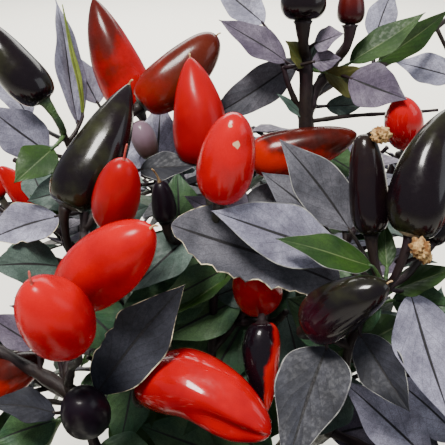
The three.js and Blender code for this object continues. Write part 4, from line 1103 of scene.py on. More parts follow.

# %% [markdown]
# ### Leaves in the shade
# Deep in the near shoots, behind the pods, stand more leaves. They get little sun and stay green, and they are
# what makes the gaps between the pods dark. One narrow yellow-green strip among them is no leaf in the shade:
# it is painted backlight, the glow along the edge of a lilac leaf that the light shines through.

# %% Leaves in the shade
SHADE_LEAVES = {
    "shoot_centre": [
        ((214, 258, 298), (116, 246, 290), 25, 5, "deep_green"),
        ((214, 285, 299), (112, 316, 288), 26, 0, "deep_green"),
        ((212, 328, 300), (104, 356, 292), 26, -10, "deep_green"),
        ((232, 275, 294), (172, 312, 280), 9, 30, "green"),
        ((216, 296, 300), (304, 256, 291), 25, 0, "green_grey"),
        ((238, 318, 302), (326, 326, 291), 25, 10, "deep_green"),
        ((212, 345, 302), (268, 442, 290), 26, 0, "deep_green"),
        ((214, 352, 303), (166, 446, 290), 26, 10, "deep_green"),
        ((286, 314, 292), (312, 420, 286), 22, -10, "green_grey"),
        ((250, 310, 301), (196, 400, 297), 25, 0, "deep_green"),
        ((150, 393, 292), (92, 320, 288), 22, 0, "deep_green"),
        ((134, 374, 286), (116, 452, 276), 19, 10, "deep_green"),
        ((238, 215, 304), (316, 192, 297), 22, -10, "slate"),
        ((242, 190, 306), (184, 128, 302), 19, 0, "green_grey"),
        ((214, 236, 292), (240, 160, 300), 20, 10, "purple"),
        ((206, 405, 305), (280, 470, 296), 26, 0, "deep_green"),
        ((206, 415, 305), (120, 470, 294), 26, 0, "green"),
        ((214, 300, 302), (280, 380, 300), 26, 20, "deep_green"),
    ],
    "shoot_left": [
        ((76, 300, 276), (132, 352, 276), 22, 0, "deep_green"),
        # painted backlight: a narrow yellow-green strip beside the lilac leaf from (78, 124), for the glow through
        # its edge
        ((83, 116, 281), (70, 2, 286), 5.0, 60, "yellow_green"),
        ((118, 178, 300), (131, 114, 298), 15, 0, "lilac"),
        ((132, 190, 296), (122, 140, 300), 12, -10, "lilac"),
        ((156, 182, 300), (161, 98, 302), 21, 0, "lilac"),
        ((72, 330, 272), (14, 296, 270), 18, 0, "green_grey"),
        ((84, 225, 290), (150, 205, 296), 20, 10, "green_grey"),
        ((80, 190, 288), (26, 200, 286), 16, 0, "green_grey"),
        ((100, 445, 274), (164, 470, 268), 18, 0, "deep_green"),
    ],
    "shoot_right": [
        ((352, 345, 272), (286, 296, 280), 24, 0, "deep_green"),
        ((350, 350, 270), (410, 318, 276), 20, 0, "green"),
        ((345, 375, 278), (300, 440, 272), 22, 0, "green_grey"),
        ((380, 300, 262), (338, 330, 268), 15, 0, "deep_green"),
        ((372, 300, 268), (330, 236, 280), 18, 0, "deep_green"),
        ((440, 466, 288), (372, 410, 290), 22, 10, "slate"),
        ((330, 435, 288), (396, 420, 292), 22, 0, "purple"),
    ],
    "shoot_top_right": [
        ((316, 150, 306), (362, 176, 304), 15, 0, "deep_green"),
        ((312, 176, 308), (256, 150, 310), 17, 0, "green_grey"),
        ((318, 215, 318), (392, 190, 312), 22, 0, "slate"),
        ((306, 74, 292), (318, 40, 284), 9, 20, "green_grey"),
        ((306, 118, 296), (278, 92, 290), 6, 30, "green_grey"),
    ],
}
print(sum(len(leaves) for leaves in SHADE_LEAVES.values()), "leaves in the shade")

# %% [markdown]
# ### How each pod differs
# Most pods carry on as the pattern has them. Some are curved, dented or grooved, some still carry the dry style
# as a spur at the tip, and one the withered flower.

# %% Looks of the pods
SKIN = {
    "black_far_left": "black_olive", "black_left": "black_olive", "black_right": "black_olive",
    "red_top_left": "red_pale", "brown_top": "brown", "orange_far": "orange", "turning_low": "black_turning",
    "black_lying": "black_maroon", "turning_top": "brown_dark", "red_scarred": "red_scarred",
    "black_bud": "black_matt", "black_young": "black_matt", "red_large": "red_glossy", "red_small": "red_glossy",
    # the centre and upright pods get the darker red, which is partly painted shade
    "red_far_left": "orange", "red_centre": "red_deep_painted_shade", "red_upright": "red_deep_painted_shade",
}
FULLEST_AT = {"red_left": 0.44, "red_low_left": 0.4, "red_upright": 0.4, "red_scarred": 0.36, "red_small": 0.45,
              "black_bud": 0.45, "red_large": 0.32, "brown_top": 0.36}  # along it, where it isn't the usual place
BASES = {"red_large": 0.78, "red_left": 0.3}  # how broad a base is, where it isn't BROAD_BASE
STALK_FROM = {"red_upright": (84, 232, 284), "turning_low": (262, 322, 294)}  # where a stalk comes from
USUAL_TURN = 0.55  # how much a stalk follows its pod's line
STALK_TURNS = {"black_left": 0.12, "black_far_left": 0.3, "turning_low": 0.05}  # where it isn't the usual
STALK_SIZES = {"black_top": 1.5, "turning_top": 1.3, "turning_low": 0.7, "black_slim": 1.1}  # as a share of the usual
BOW = {  # mm to the side and towards the eye
    "black_left": (1.6, 1.0), "black_far_left": (-1.5, 0), "red_top_left": (-1.6, 0), "red_large": (-2.0, 2.0),
    "brown_top": (1.4, 0), "orange_far": (1.0, 0), "red_centre": (0.8, 1.0), "turning_low": (1.2, 0),
    "black_right": (-1.5, 1.0), "black_lying": (-1.2, 1.0), "red_low_left": (0.8, 0),
}
DENTS = {  # place along the pod, radians from the side that faces the eye, mm deep, spread along it and round it
    "red_large": [(0.68, 0.75, 3.4, 0.2, 0.42), (0.66, -0.25, 1.4, 0.22, 0.3), (0.03, -1.3, 3.0, 0.07),
                  (0.9, 1.1, 1.2, 0.06), (0.42, 1.75, 3.2, 0.14)],
    "red_low_left": [(0.8, 1.5, 1.2, 0.08), (0.45, -0.9, 0.5, 0.12)],
    "red_left": [(0.5, 0.9, 0.7, 0.2)],
    "red_centre": [(0.75, 0.6, 0.7, 0.12)],
    "red_scarred": [(0.72, 0.7, 0.8, 0.07), (0.4, -0.6, 0.5, 0.15)],
    "black_left": [(0.55, -0.4, 0.8, 0.22)],
    "black_lying": [(0.55, 0.4, 0.8, 0.16), (0.25, -0.6, 0.6, 0.14)],
    "black_right": [(0.6, 0.5, 1.0, 0.2)],
    "brown_top": [(0.5, -0.3, 0.6, 0.2)],
    "orange_far": [(0.45, 0.3, 0.8, 0.2)],
}
SPURS = {  # where the tip of a dry style is seen
    "red_upright": (127, 144, 222), "red_left": (158, 226, 216), "red_low_left": (29, 271, 200),
    "black_young": (152, 169, 250), "black_left": (133, 80, 255), "black_lying": (393, 281, 231),
    "brown_top": (221, 33, 280), "red_small": (402, 92, 269), "red_centre": (189, 53, 262),
}
SCARS = [((230, 125, 226.5), 0.0011), ((237, 145, 227.5), 0.0015)]  # where they are seen, and how big (m)
SCAR_RAGGED = 1.6  # how far its edge strays, over its size
SCAR_EDGE = (1.45, 1.75)  # from full scab to sound skin, over its size
print(len(SPURS), "pods keep a spur")

# %% [markdown]
# ### Corky scars
# One pod was grazed: two pale scabs show on its upper side. Their finish is that of the red pods, with a rough
# beige skin within a few millimetres of each place.

# %% Finish: a scarred pod
SCAB, SCAB_ROUGHNESS = from_hex("c9a07c"), 0.8
scarred = pod_finish("red_scarred", "a00009", "b20009", "70000a")
tree, shader = scarred.node_tree, scarred.node_tree.nodes["Principled BSDF"]
place = object_place(tree)
crumbs = noise(tree, place, 700.0, 3.0)
scab = 0.0
for seen_at, size in SCARS:
    gap = add_node(tree, "ShaderNodeVectorMath", operation="DISTANCE")
    feed(tree, gap.inputs, (place, seen(seen_at) * MM))
    ragged = maths(tree, "MULTIPLY_ADD", crumbs, size * SCAR_RAGGED, gap.outputs["Value"])
    full, none = (size * edge for edge in SCAR_EDGE)
    scab = maths(tree, "MAXIMUM", scab, ramp(tree, ragged, full, none, 1.0, 0.0))
skin = {name: shader.inputs[name].links[0].from_socket for name in ("Base Color", "Roughness")}
wire(tree, mixed(tree, scab, skin["Base Color"], SCAB), shader.inputs["Base Color"])
wire(tree, ramp(tree, scab, 0, 1, skin["Roughness"], SCAB_ROUGHNESS), shader.inputs["Roughness"])
wire(tree, maths(tree, "MULTIPLY_ADD", scab, -0.5, 0.5), shader.inputs["Coat Weight"])
pod_finishes["red_scarred"] = scarred
print("two scars on one pod")

# %% [markdown]
# ### Build the near shoots
# A shoot's stem and twigs are sticks through the seen places. A petiole or a stalk leaves the nearest spot of
# these. Wood, leaves and pods go into heaps of their own.

# %% Values of the near shoots
PETIOLE_REACH, STALK_REACH = 8, 16  # mm behind a blade or a pod, from where its stick looks for its twig
WEAR = {  # place along the blade, side, depth and spread of each bite
    "dry": [(0.34, -1, 0.22, 0.2), (0.5, -1, 0.16, 0.08)],
    "bitten": [(0.3, -1, 0.1, 0.03), (0.38, -1, 0.16, 0.04), (0.5, -1, 0.26, 0.06), (0.6, -1, 0.12, 0.03),
               (0.68, -1, 0.2, 0.035), (0.77, -1, 0.28, 0.045), (0.86, -1, 0.18, 0.03), (0.93, -1, 0.34, 0.04)],
    "hole": [(0.62, -1, 0.3, 0.05)],
    "rim": [],
}
TWIG, PETIOLE, GREEN_STALK, CALYX, RING, SPUR, RED_SPUR = range(7)
near_wood_finishes = [twig_wood, green_wood, green_stalk, calyx_green, calyx_pale, spur_brown, spur_red]
GREEN_PETIOLES = ("green", "olive", "deep_green")  # the leaves that have one
TWIG_SIZES = {("shoot_top_right", 0): 1.7, ("shoot_top_right", 1): 0.5, ("shoot_top_right", 2): 1.3,
              ("shoot_top_right", 3): 0.8, ("shoot_left", 5): 1.5}  # as a share of the usual thickness
WIDEST_AT = {("shoot_right", 0): 0.24, ("shoot_right", 7): 0.7, ("shoot_right", 3): 0.5,
             ("shoot_left", 0): 0.46}  # where along it a leaf is widest, where it isn't LEAF_WIDEST
POINTED = {("shoot_right", 7): 0.5, ("shoot_right", 0): 1.1}  # below 1, a blade keeps its width until near its tip
CUP_LOOKS = {"black_right": RING, "turning_low": TWIG}  # where a cup isn't plain green
RIMS = {"rim": "pale", "dry": "dried", "bitten": "dried", "hole": "dried"}  # the margin of a worn leaf
PETIOLE_RADII = (1.05, 0.62)  # mm, at the twig and at the blade
STALK_RADII = ([0, 0.15, 0.6, 0.9, 1], [1.7, 1.45, 1.55, 2.1, 2.7])  # along it, and how thick there
SPUR_RADII = [0.95, 0.7, 0.45, 0.38, 0.36, 0.38, 0.25]
SPUR_SUNK = 1.6  # mm that a spur starts inside its pod
CUP_WIDTH, CUP_HEIGHT = 0.62, 3.4  # over the width of the pod's base, and in mm
FACING_UP = 0.35  # how much a near leaf turns from the eye to the sky
TWIG_NODES = 0.16  # how far a twig swells where leaves stand, over its radius
print(len(near_wood_finishes), "finishes on the near wood")

# %% Near twigs and leaves
def nearest_on(lines, point):
    """The spot on some lines that is nearest to a point."""
    best, gap = None, 1e9
    for line in lines:
        for a, b in zip(line, line[1:]):
            share = np.clip((point - a) @ (b - a) / ((b - a) @ (b - a)), 0, 1)
            at = a + (b - a) * share
            if np.linalg.norm(at - point) < gap:
                best, gap = at, np.linalg.norm(at - point)
    return best


def near_twigs(heap, shoot):
    """The sticks of a near shoot. Returns their lines."""
    lines = []
    for i, twig in enumerate(NEAR_SHOOTS[shoot]["twigs"]):
        line = [seen(place) for place in twig]
        if i:
            line[0] = nearest_on(lines, line[0])
        line = smooth(line, 8 * len(line))
        ends = (BOUGH_RADII[1], SHOOT_RADII[1] + 0.3) if i == 0 else SHOOT_RADII
        swollen = 1 + TWIG_NODES * np.exp(-((np.linspace(0, 3 * len(twig) - 3, len(line)) % 3 - 1.5) ** 2) * 9)
        radii = taper(ends, len(line)) * swollen * TWIG_SIZES.get((shoot, i), 1)
        put_stick(heap, line, radii, sides=10, slot=TWIG, knots=0.06, key=i)
        lines.append(line)
    return lines


def petiole_line(join, foot, way, length):
    """A petiole's line: out of its twig, and into the blade along the midrib."""
    return smooth([join, (join + foot) / 2 - way * 0.05 * length + UP * -0.4, foot, foot + way * 1.5], 8)


def near_leaf_set(wood, blades, lines, shoot, key):
    """The petioles and blades of a near shoot. Returns the names of the finishes that they use."""
    used = []
    rows = NEAR_SHOOTS[shoot]["leaves"] + SHADE_LEAVES.get(shoot, [])
    for i, (root, tip, width, turn, finish, *wear) in enumerate(rows):
        foot, end = seen(root), seen(tip)
        way = unit(end - foot)
        facing = turned_about(unit(EYE - foot) + UP * FACING_UP, way, math.radians(turn))
        join = nearest_on(lines, foot - way * PETIOLE_REACH)
        line = petiole_line(join, foot, way, np.linalg.norm(foot - join))
        slot = GREEN_STALK if finish in GREEN_PETIOLES else TWIG
        put_stick(wood, line, taper(PETIOLE_RADII, len(line)), sides=8, slot=slot, key=i)
        wear = wear[0] if wear else ""
        corners, uvs = shape_leaf(near_leaf, foot, end, width, facing, key + i, bites=WEAR.get(wear, ()),
                                  widest=WIDEST_AT.get((shoot, i), LEAF_WIDEST),
                                  pointed=POINTED.get((shoot, i), 1))
        rib = "green_rib" if finish in ("green", "olive") else "dark_rib"
        parts = (finish, rib, RIMS.get(wear, finish))
        for part in parts:
            if part not in used:
                used.append(part)
        blades.put(near_leaf, corners, uvs, np.array([used.index(part) for part in parts])[near_leaf.slots])
    return used


print("near twigs and leaves ready to build")

# %% Near pods
def stalk_line(start, base, tip, turns=USUAL_TURN):
    """A pod's stalk: it leaves its twig and turns up into the pod's own line."""
    axis = unit(tip - base)
    reach = np.linalg.norm(base - start)
    bend = (base - axis * turns * reach) * 0.7 + start * 0.3
    if turns < 0.5:
        bend = (base + start) / 2 - axis * turns * reach
    return smooth([start, bend, base - axis * (1.5 + 4.5 * turns), base - axis * 0.4], 12)


def put_pod(wood, name, base, tip, width, blunt, start, key):
    """A near pod with its stalk, calyx and spur. Its skin is a piece of its own."""
    broad = BASES.get(name, BROAD_BASE)
    bow, sag = BOW.get(name, (0, 0))
    widest = FULLEST_AT.get(name, SHOULDER)
    skin = Heap()
    corners = shape_pod(near_pod, base, tip, width, blunt, broad, bow, sag, widest, DENTS.get(name, ()), key)
    skin.put(near_pod, corners, near_pod_uvs)
    finish = SKIN.get(name, "red" if "red" in name else "black")
    slot = "ripe_fruit" if "red" in name else "black_fruit" if "black" in name else "turning_fruit"
    skin.piece(f"pod_{name}", [pod_finishes[finish]], "pod", slot, [f"chilli_{name}"])
    line = stalk_line(start, base, tip, STALK_TURNS.get(name, USUAL_TURN))
    radii = np.interp(np.linspace(0, 1, len(line)), *STALK_RADII) * STALK_SIZES.get(name, 1)
    stalk_look = GREEN_STALK if name == "black_far_left" else PETIOLE if "red" in name else TWIG
    put_stick(wood, line, radii, sides=12, slot=stalk_look, knots=0.05, key=key)
    put_calyx(wood, base, tip, width * broad * CUP_WIDTH, CUP_HEIGHT, key, CUP_LOOKS.get(name, CALYX))
    if name in SPURS:
        end = seen(SPURS[name])
        inside = tip - unit(tip - base) * SPUR_SUNK
        line = smooth([inside, tip * 0.6 + end * 0.4 + UP * 0.5, end], len(SPUR_RADII) - 1)
        spur_look = RED_SPUR if name in ("red_upright", "red_low_left") else SPUR
        put_stick(wood, line, SPUR_RADII, sides=8, slot=spur_look, knots=0.12, key=key)


print("near pods ready to build")

# %% Near shoots, leaf by leaf and pod by pod
looks = {**leaf_finishes, "dark_rib": midrib_dark, "green_rib": midrib_green, "pale": pale_rim, "dried": dry_rim}
near_lines = {}
for order, shoot in enumerate(NEAR_SHOOTS):
    wood, blades = Heap(), Heap()
    lines = near_lines[shoot] = near_twigs(wood, shoot)
    used = near_leaf_set(wood, blades, lines, shoot, 100 * order)
    for key, (name, (base, tip, width, blunt)) in enumerate(PODS[shoot].items()):
        foot, end = seen(base), seen(tip)
        below = foot - unit(end - foot) * STALK_REACH
        start = nearest_on(lines, seen(STALK_FROM[name]) if name in STALK_FROM else below)
        put_pod(wood, name, foot, end, width, blunt, start, 40 * order + key)
    blades.piece(f"{shoot}_leaves", [looks[name] for name in used], "blade", "foliage", [shoot])
    wood.piece(f"{shoot}_twigs", near_wood_finishes, "grain", "foliage", [shoot])
    print(shoot, "has", len(NEAR_SHOOTS[shoot]["leaves"]), "leaves in the light and", len(PODS[shoot]), "pods")

# %% [markdown]
# ### A bud and dry flowers
# A withered flower clings to the tip of the slim black pod, two more hang below the large one on the right, and
# a swelling bud stands behind the pods on the left. A dry flower is a crumpled ball: a sphere of small faces
# whose corners are drawn in and out in folds that wind round it.

# %% Model a dry flower
def model_dry_flower():
    """A crumpled papery ball of about radius 1."""
    bpy.ops.mesh.primitive_ico_sphere_add(subdivisions=4, radius=1)
    model = bpy.context.active_object
    for key, corner in enumerate(model.data.vertices):
        x, y, z = corner.co
        around = math.atan2(y, x)
        folds = 0.15 * math.sin(5 * around + 6 * z) + 0.11 * math.sin(11 * around - 9 * z)
        folds += 0.08 * math.sin(17 * z + 4 * x)
        corner.co *= 0.85 + folds * (1 - 0.5 * z * z) + 0.08 * (chance(key, 1) - 0.5)
        corner.co.z *= 0.9
    edit(model)
    return Pattern(done())


dry_ball = model_dry_flower()
DRY_FLOWERS = [  # where it is seen, its size in mm, and where its stalk comes from
    ((381, 135, 243), 3.8, (366, 136, 248)),
    ((420, 248, 235), 4.1, (396, 262, 246)),
    ((426, 257, 237), 2.6, (398, 268, 248)),
]
flowers, stalks = Heap(), Heap()
for key, (place, size, source) in enumerate(DRY_FLOWERS):
    middle = seen(place)
    turned = dry_ball.corners @ np.array(Euler((key, 2 * key, 0.5)).to_matrix())
    flowers.put(dry_ball, middle + turned * size, dry_ball.corners[:, :2])
    start = seen(source)
    line = smooth([start, (start + middle) / 2 + PICTURE_UP * 1.2, middle], 8)
    put_stick(stalks, line, taper((0.8, 0.6), len(line)), sides=8)
flowers.piece("dry_flowers", [dry_flower], "grain", "foliage", [])
stalks.piece("dry_flower_stalks", [twig_wood], "grain", "foliage", [])
print(len(DRY_FLOWERS), "dry flowers")

# %% A bud on the left shoot
bud_finish = pod_finish("bud", "4c3634", "6e5a66", "3c2c26", start=0.4, blur=0.5, roughness=0.34)
base, tip = seen((151, 157, 288)), seen((137, 121, 284))
bud = Heap()
corners = shape_pod(near_pod, base, tip, width=10.5, blunt=2.2, broad=0.4, widest=0.55, key=77)
bud.put(near_pod, corners, near_pod_uvs)
bud.piece("bud_left", [bud_finish], "pod", "turning_fruit", [])
stalk = Heap()
start = nearest_on(near_lines["shoot_left"], base)
line = stalk_line(start, base, tip)
put_stick(stalk, line, taper((1.0, 1.8), len(line)), sides=10, knots=0.05)
put_calyx(stalk, base, tip, radius=3.6, height=3.0, key=5, slot=1)
stalk.piece("bud_left_stalk", [twig_wood, calyx_green], "grain", "foliage", [])
print("one bud")

# %% [markdown]
# ## The rest of the crown
# The shoots that the picture doesn't show grow by a rule, so that the crown is as full all round. A shoot forks
# again and again, each time a little shorter and turned a little up. Leaves stand round each fork and tip by the
# golden angle, and upright pods at the outer forks. A twig or a leaf is left out where it would leave its shoot's
# own space or meet a limb, and a leaf also where it would meet a twig, a pod or another leaf. The solids follow
# the same rule with fewer forks and leaves.

# %% Values of growth
GROWN_SHOOTS = {  # seed, and the way that it leans; the foot is the end of its bough
    "low_left": (3, (-0.7, -0.6, 0.35)),
    "low_right": (8, (0.7, -0.6, 0.35)),
    "far_left": (12, (-0.75, -0.1, 0.6)),
    "back_left": (17, (-0.55, 0.5, 0.65)),
    "far_right": (23, (0.75, -0.1, 0.6)),
    "top_back": (29, (-0.1, 0.1, 1)),
    "back_right": (35, (0.55, 0.5, 0.65)),
    "back": (41, (0, 0.75, 0.65)),
    "low_front": (58, (0, -0.6, 0.3)),
    "mid_left": (46, (0, 0.1, 1)),
    "mid_right": (52, (0.1, 0.1, 1)),
}
BOUGH_OF = {"far_left": "left", "far_right": "right"}  # where a shoot's name isn't its bough's
INTERNODE = 30  # mm, the first stretch of a shoot
SHORTER, FINER = 0.84, 0.62  # how long the next stretch is, and the last, over the one before
FORK_ANGLE = math.radians(33)
RISE = 0.16  # how much each stretch turns up
FORKS = 4  # one more than the solids have
SIDE_SHOOTS = (0.3, 0.42, 0.54, 0.66, 0.8, 0.93)  # where short side shoots leave a bough, along it
SIDE_INTERNODE = 26  # mm, the first stretch of a side shoot
SIDE_STEPS = 20  # along a bough, to find the place of a side shoot
SECOND_TRY = 0.62  # how long a twig or a leaf is on its second try, where there is no room for all of it
GOLDEN_ANGLE = math.radians(137.5)
LEAVES_AT_FORK, LEAVES_AT_TIP = 4, 5
LEAF_LENGTH, LEAF_SLIMNESS = 50, 0.52  # mm, and the width over the length
LEAF_SIZES = (0.75, 1.15)  # of LEAF_LENGTH, least and most
TIP_LEAF = 0.75  # how long a leaf at a tip is, over the others
LEAF_SPREAD = (50, 85)  # degrees, from the twig to a leaf
LEAF_OUT = 0.35  # how much a leaf turns away from the crown's heart
LEAF_DROOP = (0.15, 0.3)  # how much it turns down, and how much of that again by chance
LEAF_SPIN = 1.2  # radians round its twig, at most, that a leaf is off its place
FIRST_LEAF, NEXT_LEAF, LAST_LEAF = 0.04, 0.26, 0.95  # how far back from a fork they stand, of the stretch
PETIOLE_SHARE = 0.16  # of a leaf's length, before its blade starts
KITE_START = 0.14  # of a leaf's length, where the flat kite that stands for it starts
MOST_PODS, POD_TRIES = 5, 3  # on a shoot, and for a place at a fork
SMALL_POD = (38, 17)  # mm long and wide
POD_SIZES = (0.8, 1.15)  # of SMALL_POD, least and most
POD_STALK = 13  # mm
POD_LEAN = (0.45, 0.4)  # from upright: to a side, and along its twig
POD_ABOVE = 35  # mm that a pod may stand above the dome
LEAF_ROOM, TWIG_ROOM, LIMB_ROOM, POD_ROOM = 1, 2, 4.5, 8  # mm that stay free beside them
LEAVES_APART = 75  # mm between the feet of two leaves that can't meet
CENTRE_AHEAD = 45  # mm from a shoot's foot to the centre of its space
CROWN_HEART = np.array([0, 0, 190])
LOWEST_LEAF, DOME_TOP = 92, 338
DOME_FALL = 26  # mm that the dome is lower, 100 mm out from the stem
SKYLINE, BEHIND = 122, 304  # px down and mm away: in the picture, a grown leaf is below and behind these
BEYOND_SOLIDS = 7  # mm that a leaf may reach past the box of the solids
print(len(GROWN_SHOOTS), "shoots grow by the rule")

# %% Spaces of the shoots
foot_of = {name: np.array(BOUGHS[BOUGH_OF.get(name, name)][1], float) for name in GROWN_SHOOTS}
lean_of = {name: unit(np.array(lean, float)) for name, (_, lean) in GROWN_SHOOTS.items()}
centre_of = {name: foot_of[name] + lean_of[name] * CENTRE_AHEAD for name in GROWN_SHOOTS}
solids_low, solids_high = (np.array(corner[:]) / MM for corner in cad_box)
bends = [limb_line(FIRST_FORK, end) for end in LIMBS.values()]
bends += [limb_line(LIMBS[limb], end) for limb, end in BOUGHS.values()]
starts = np.array([point for a, b, c in bends for point in (a, b)])
spans = np.array([point for a, b, c in bends for point in (b, c)]) - starts
print("the leaves keep clear of", len(spans), "straight stretches of wood")

# %% Room for a point
def between(ends, share):
    return ends[0] + (ends[1] - ends[0]) * share


def distance_to(point, a, b):
    share = np.clip((point - a) @ (b - a) / ((b - a) @ (b - a)), 0, 1)
    return np.linalg.norm(a + (b - a) * share - point)


def room_at(point, name, above=0):
    """How far inside the space of a shoot a point is, in mm, or below zero where it is outside."""
    own = centre_of[name]
    dome = DOME_TOP - DOME_FALL * (point[0] ** 2 + point[1] ** 2) / 100**2
    room = min(point[2] - LOWEST_LEAF, dome + above - point[2])
    room = min(room, (point - solids_low).min() + BEYOND_SOLIDS, (solids_high - point).min() + BEYOND_SOLIDS)
    for other, theirs in centre_of.items():
        if other != name:
            room = min(room, (point - (own + theirs) / 2) @ unit(own - theirs))
    shares = np.clip(((point - starts) * spans).sum(1) / (spans**2).sum(1), 0, 1)
    room = min(room, np.linalg.norm(starts + spans * shares[:, None] - point, axis=1).min() - LIMB_ROOM)
    across, down, away = in_picture(point)
    outside = max(-across, across - PICTURE, down - PICTURE) * SPREAD * away
    behind = min(away - BEHIND, (down - SKYLINE) * SPREAD * away)
    return min(room, max(outside, behind))


print("room at the crown's heart:", round(room_at(CROWN_HEART, "mid_left")), "mm")

# %% Grow the twigs and the pods
def grow_twigs(name, start, along, length, number, fork, twigs):
    """A stretch of a shoot from one fork to the next, and what is beyond. Number n forks into 2n and 2n + 1."""
    key = GROWN_SHOOTS[name][0] * 100 + number
    ends = [start + along * length * share for share in (1, SECOND_TRY)]
    end = next((e for e in ends if number == 1 or room_at(e, name) > TWIG_ROOM), None)
    if end is None:
        return
    side = unit(np.cross(UP, along))
    twigs.append({"from": start, "to": end, "along": along, "side": side, "key": key, "fork": fork, "number": number})
    if fork == FORKS:
        return
    plane = turned_about(side, along, number * GOLDEN_ANGLE + chance(key, 50))
    for hand, child in ((-1, 2 * number), (1, 2 * number + 1)):
        way = along * math.cos(FORK_ANGLE) + plane * hand * math.sin(FORK_ANGLE) + UP * RISE
        shorter = SHORTER if fork + 1 < FORKS else FINER
        grow_twigs(name, end, unit(way), length * shorter, child, fork + 1, twigs)


def grow_side_shoots(name, twigs):
    """Short shoots along the outer part of the bough, each with a single fork. They are numbered from 101."""
    limb, end = BOUGHS[BOUGH_OF.get(name, name)]
    line = smooth(limb_line(LIMBS[limb], end), SIDE_STEPS)
    for i, share in enumerate(SIDE_SHOOTS):
        at = round(share * SIDE_STEPS)
        along = unit(line[at] - line[at - 1])
        side = turned_about(unit(np.cross(UP, along)), along, i * GOLDEN_ANGLE + GROWN_SHOOTS[name][0])
        way = unit(side + 0.5 * along + 0.5 * UP)
        grow_twigs(name, line[at], way, SIDE_INTERNODE, 101 + 2 * i, FORKS - 1, twigs)


def grow_pods(name, twigs):
    """Upright pods at the outer forks, on the last of them first."""
    pods = []
    for twig in reversed(twigs):
        if twig["fork"] < 1 or len(pods) == MOST_PODS:
            break
        if twig["fork"] == FORKS:
            continue
        for turn in range(POD_TRIES):
            angle = chance(twig["key"], 41) * 2 * math.pi + turn * GOLDEN_ANGLE
            out = turned_about(twig["side"], twig["along"], angle)
            rise = unit(out * POD_LEAN[0] + UP + twig["along"] * POD_LEAN[1])
            size = between(POD_SIZES, chance(twig["key"], 42))
            base = twig["to"] + rise * POD_STALK
            tip = base + rise * SMALL_POD[0] * size
            need = SMALL_POD[1] * size / 2 + 1
            if min(room_at(base, name, POD_ABOVE), room_at(tip, name, POD_ABOVE)) < need:
                continue
            if all(distance_to(tip, other["base"], other["tip"]) > 2 * need for other in pods):
                pods.append({"from": twig["to"], "base": base, "tip": tip, "size": size, "key": twig["key"]})
                break
    return pods


print("twigs fork", FORKS, "times")

# %% Room for a leaf
def kite(root, tip, way):
    """The corners of a leaf taken as a flat kite: near its root, one edge, its tip, the other edge."""
    across = unit(np.cross(way, UP)) * np.linalg.norm(tip - root) * LEAF_SLIMNESS / 2
    middle = root + (tip - root) * LEAF_WIDEST
    start = root + (tip - root) * KITE_START
    return [Vector(corner) for corner in (start, middle + across, tip, middle - across)]


def line_meets(a, b, corners):
    root, left, tip, right = corners
    for p, q, r in ((root, left, tip), (root, tip, right)):
        hit = intersect_ray_tri(p, q, r, b - a, a, True)
        if hit and (hit - a).length <= (b - a).length:
            return True
    return False


def kites_meet(one, other):
    if (one[0] - other[0]).length > LEAVES_APART:
        return False
    for first, second in ((one, other), (other, one)):
        if any(line_meets(a, b, second) for a, b in zip(first, first[1:] + first[:1])):
            return True
    return False


def is_clear(name, corners, twigs, pods, leaves):
    """True if a leaf keeps to its shoot's space and meets no twig, pod or leaf there."""
    points = [np.array(corner) for corner in corners]
    if min(room_at(point, name) for point in points) < LEAF_ROOM:
        return False
    if any(line_meets(Vector(twig["from"]), Vector(twig["to"]), corners) for twig in twigs):
        return False
    if any(distance_to(point, pod["base"], pod["tip"]) < POD_ROOM for pod in pods for point in points):
        return False
    if any(line_meets(Vector(pod["from"]), Vector(pod["tip"]), corners) for pod in pods):
        return False
    return not any(kites_meet(leaf["kite"], corners) for leaf in leaves)


print("a leaf keeps", POD_ROOM, "mm from a pod")

# %% Grow the leaves
def grow_leaves(name, twigs, pods):
    leaves = []
    for twig in twigs:
        key, count = twig["key"], LEAVES_AT_TIP if twig["fork"] >= FORKS - 1 else LEAVES_AT_FORK
        for i in range(count):
            out = turned_about(twig["side"], twig["along"], i * GOLDEN_ANGLE + LEAF_SPIN * chance(key, i))
            spread = math.radians(between(LEAF_SPREAD, chance(key, i + 10)))
            way = twig["along"] * math.cos(spread) + out * math.sin(spread)
            back = min(FIRST_LEAF + NEXT_LEAF * i, LAST_LEAF)
            root = twig["to"] + (twig["from"] - twig["to"]) * back
            way = way + unit(root - CROWN_HEART) * LEAF_OUT
            way[2] -= LEAF_DROOP[0] + LEAF_DROOP[1] * chance(key, i + 20)
            way = unit(way)
            length = LEAF_LENGTH * between(LEAF_SIZES, chance(key, i + 30))
            length *= TIP_LEAF if twig["fork"] == FORKS else 1
            for share in (1, SECOND_TRY):
                tip = root + way * length * share
                corners = kite(root, tip, way)
                if is_clear(name, corners, twigs, pods, leaves):
                    leaves.append({"root": root, "tip": tip, "way": way, "kite": corners, "key": key + i / 8})
                    break
    return leaves


print("leaves are up to", round(LEAF_LENGTH * LEAF_SIZES[1]), "mm long")

# %% [markdown]
# ### Colour by light
# Leaves in full sun make the purple stain, and those in the shade stay green. So a leaf's finish is dealt out by
# how far out it grows, with some chance in it.

# %% Colours of the grown leaves
SUNNY = ("slate", "lilac", "purple", "lilac", "green_grey")
HALF_LIT = ("slate", "green_grey", "deep_green", "purple", "green")
SHADED = ("deep_green", "green", "green_grey", "deep_green", "slate")
leaf_order = list(LEAF_SHADES)
DARK_RIB = len(leaf_order)
grown_leaf_finishes = [leaf_finishes[name] for name in leaf_order] + [midrib_dark]
POD_KINDS = ["red", "black", "brown_dark", "red", "black"]
GROWN_TWIG, GROWN_PETIOLE, GROWN_CALYX = range(3)
grown_wood_finishes = [twig_wood, green_wood, calyx_green]
CROWN_REACH = np.array([150, 150, 120])  # mm from its heart to its edge
IN_SUN, HALF_IN_SUN = 0.85, 0.55  # how far out a leaf has to be, as a share of that
LUCK = 0.5  # how much of that is chance


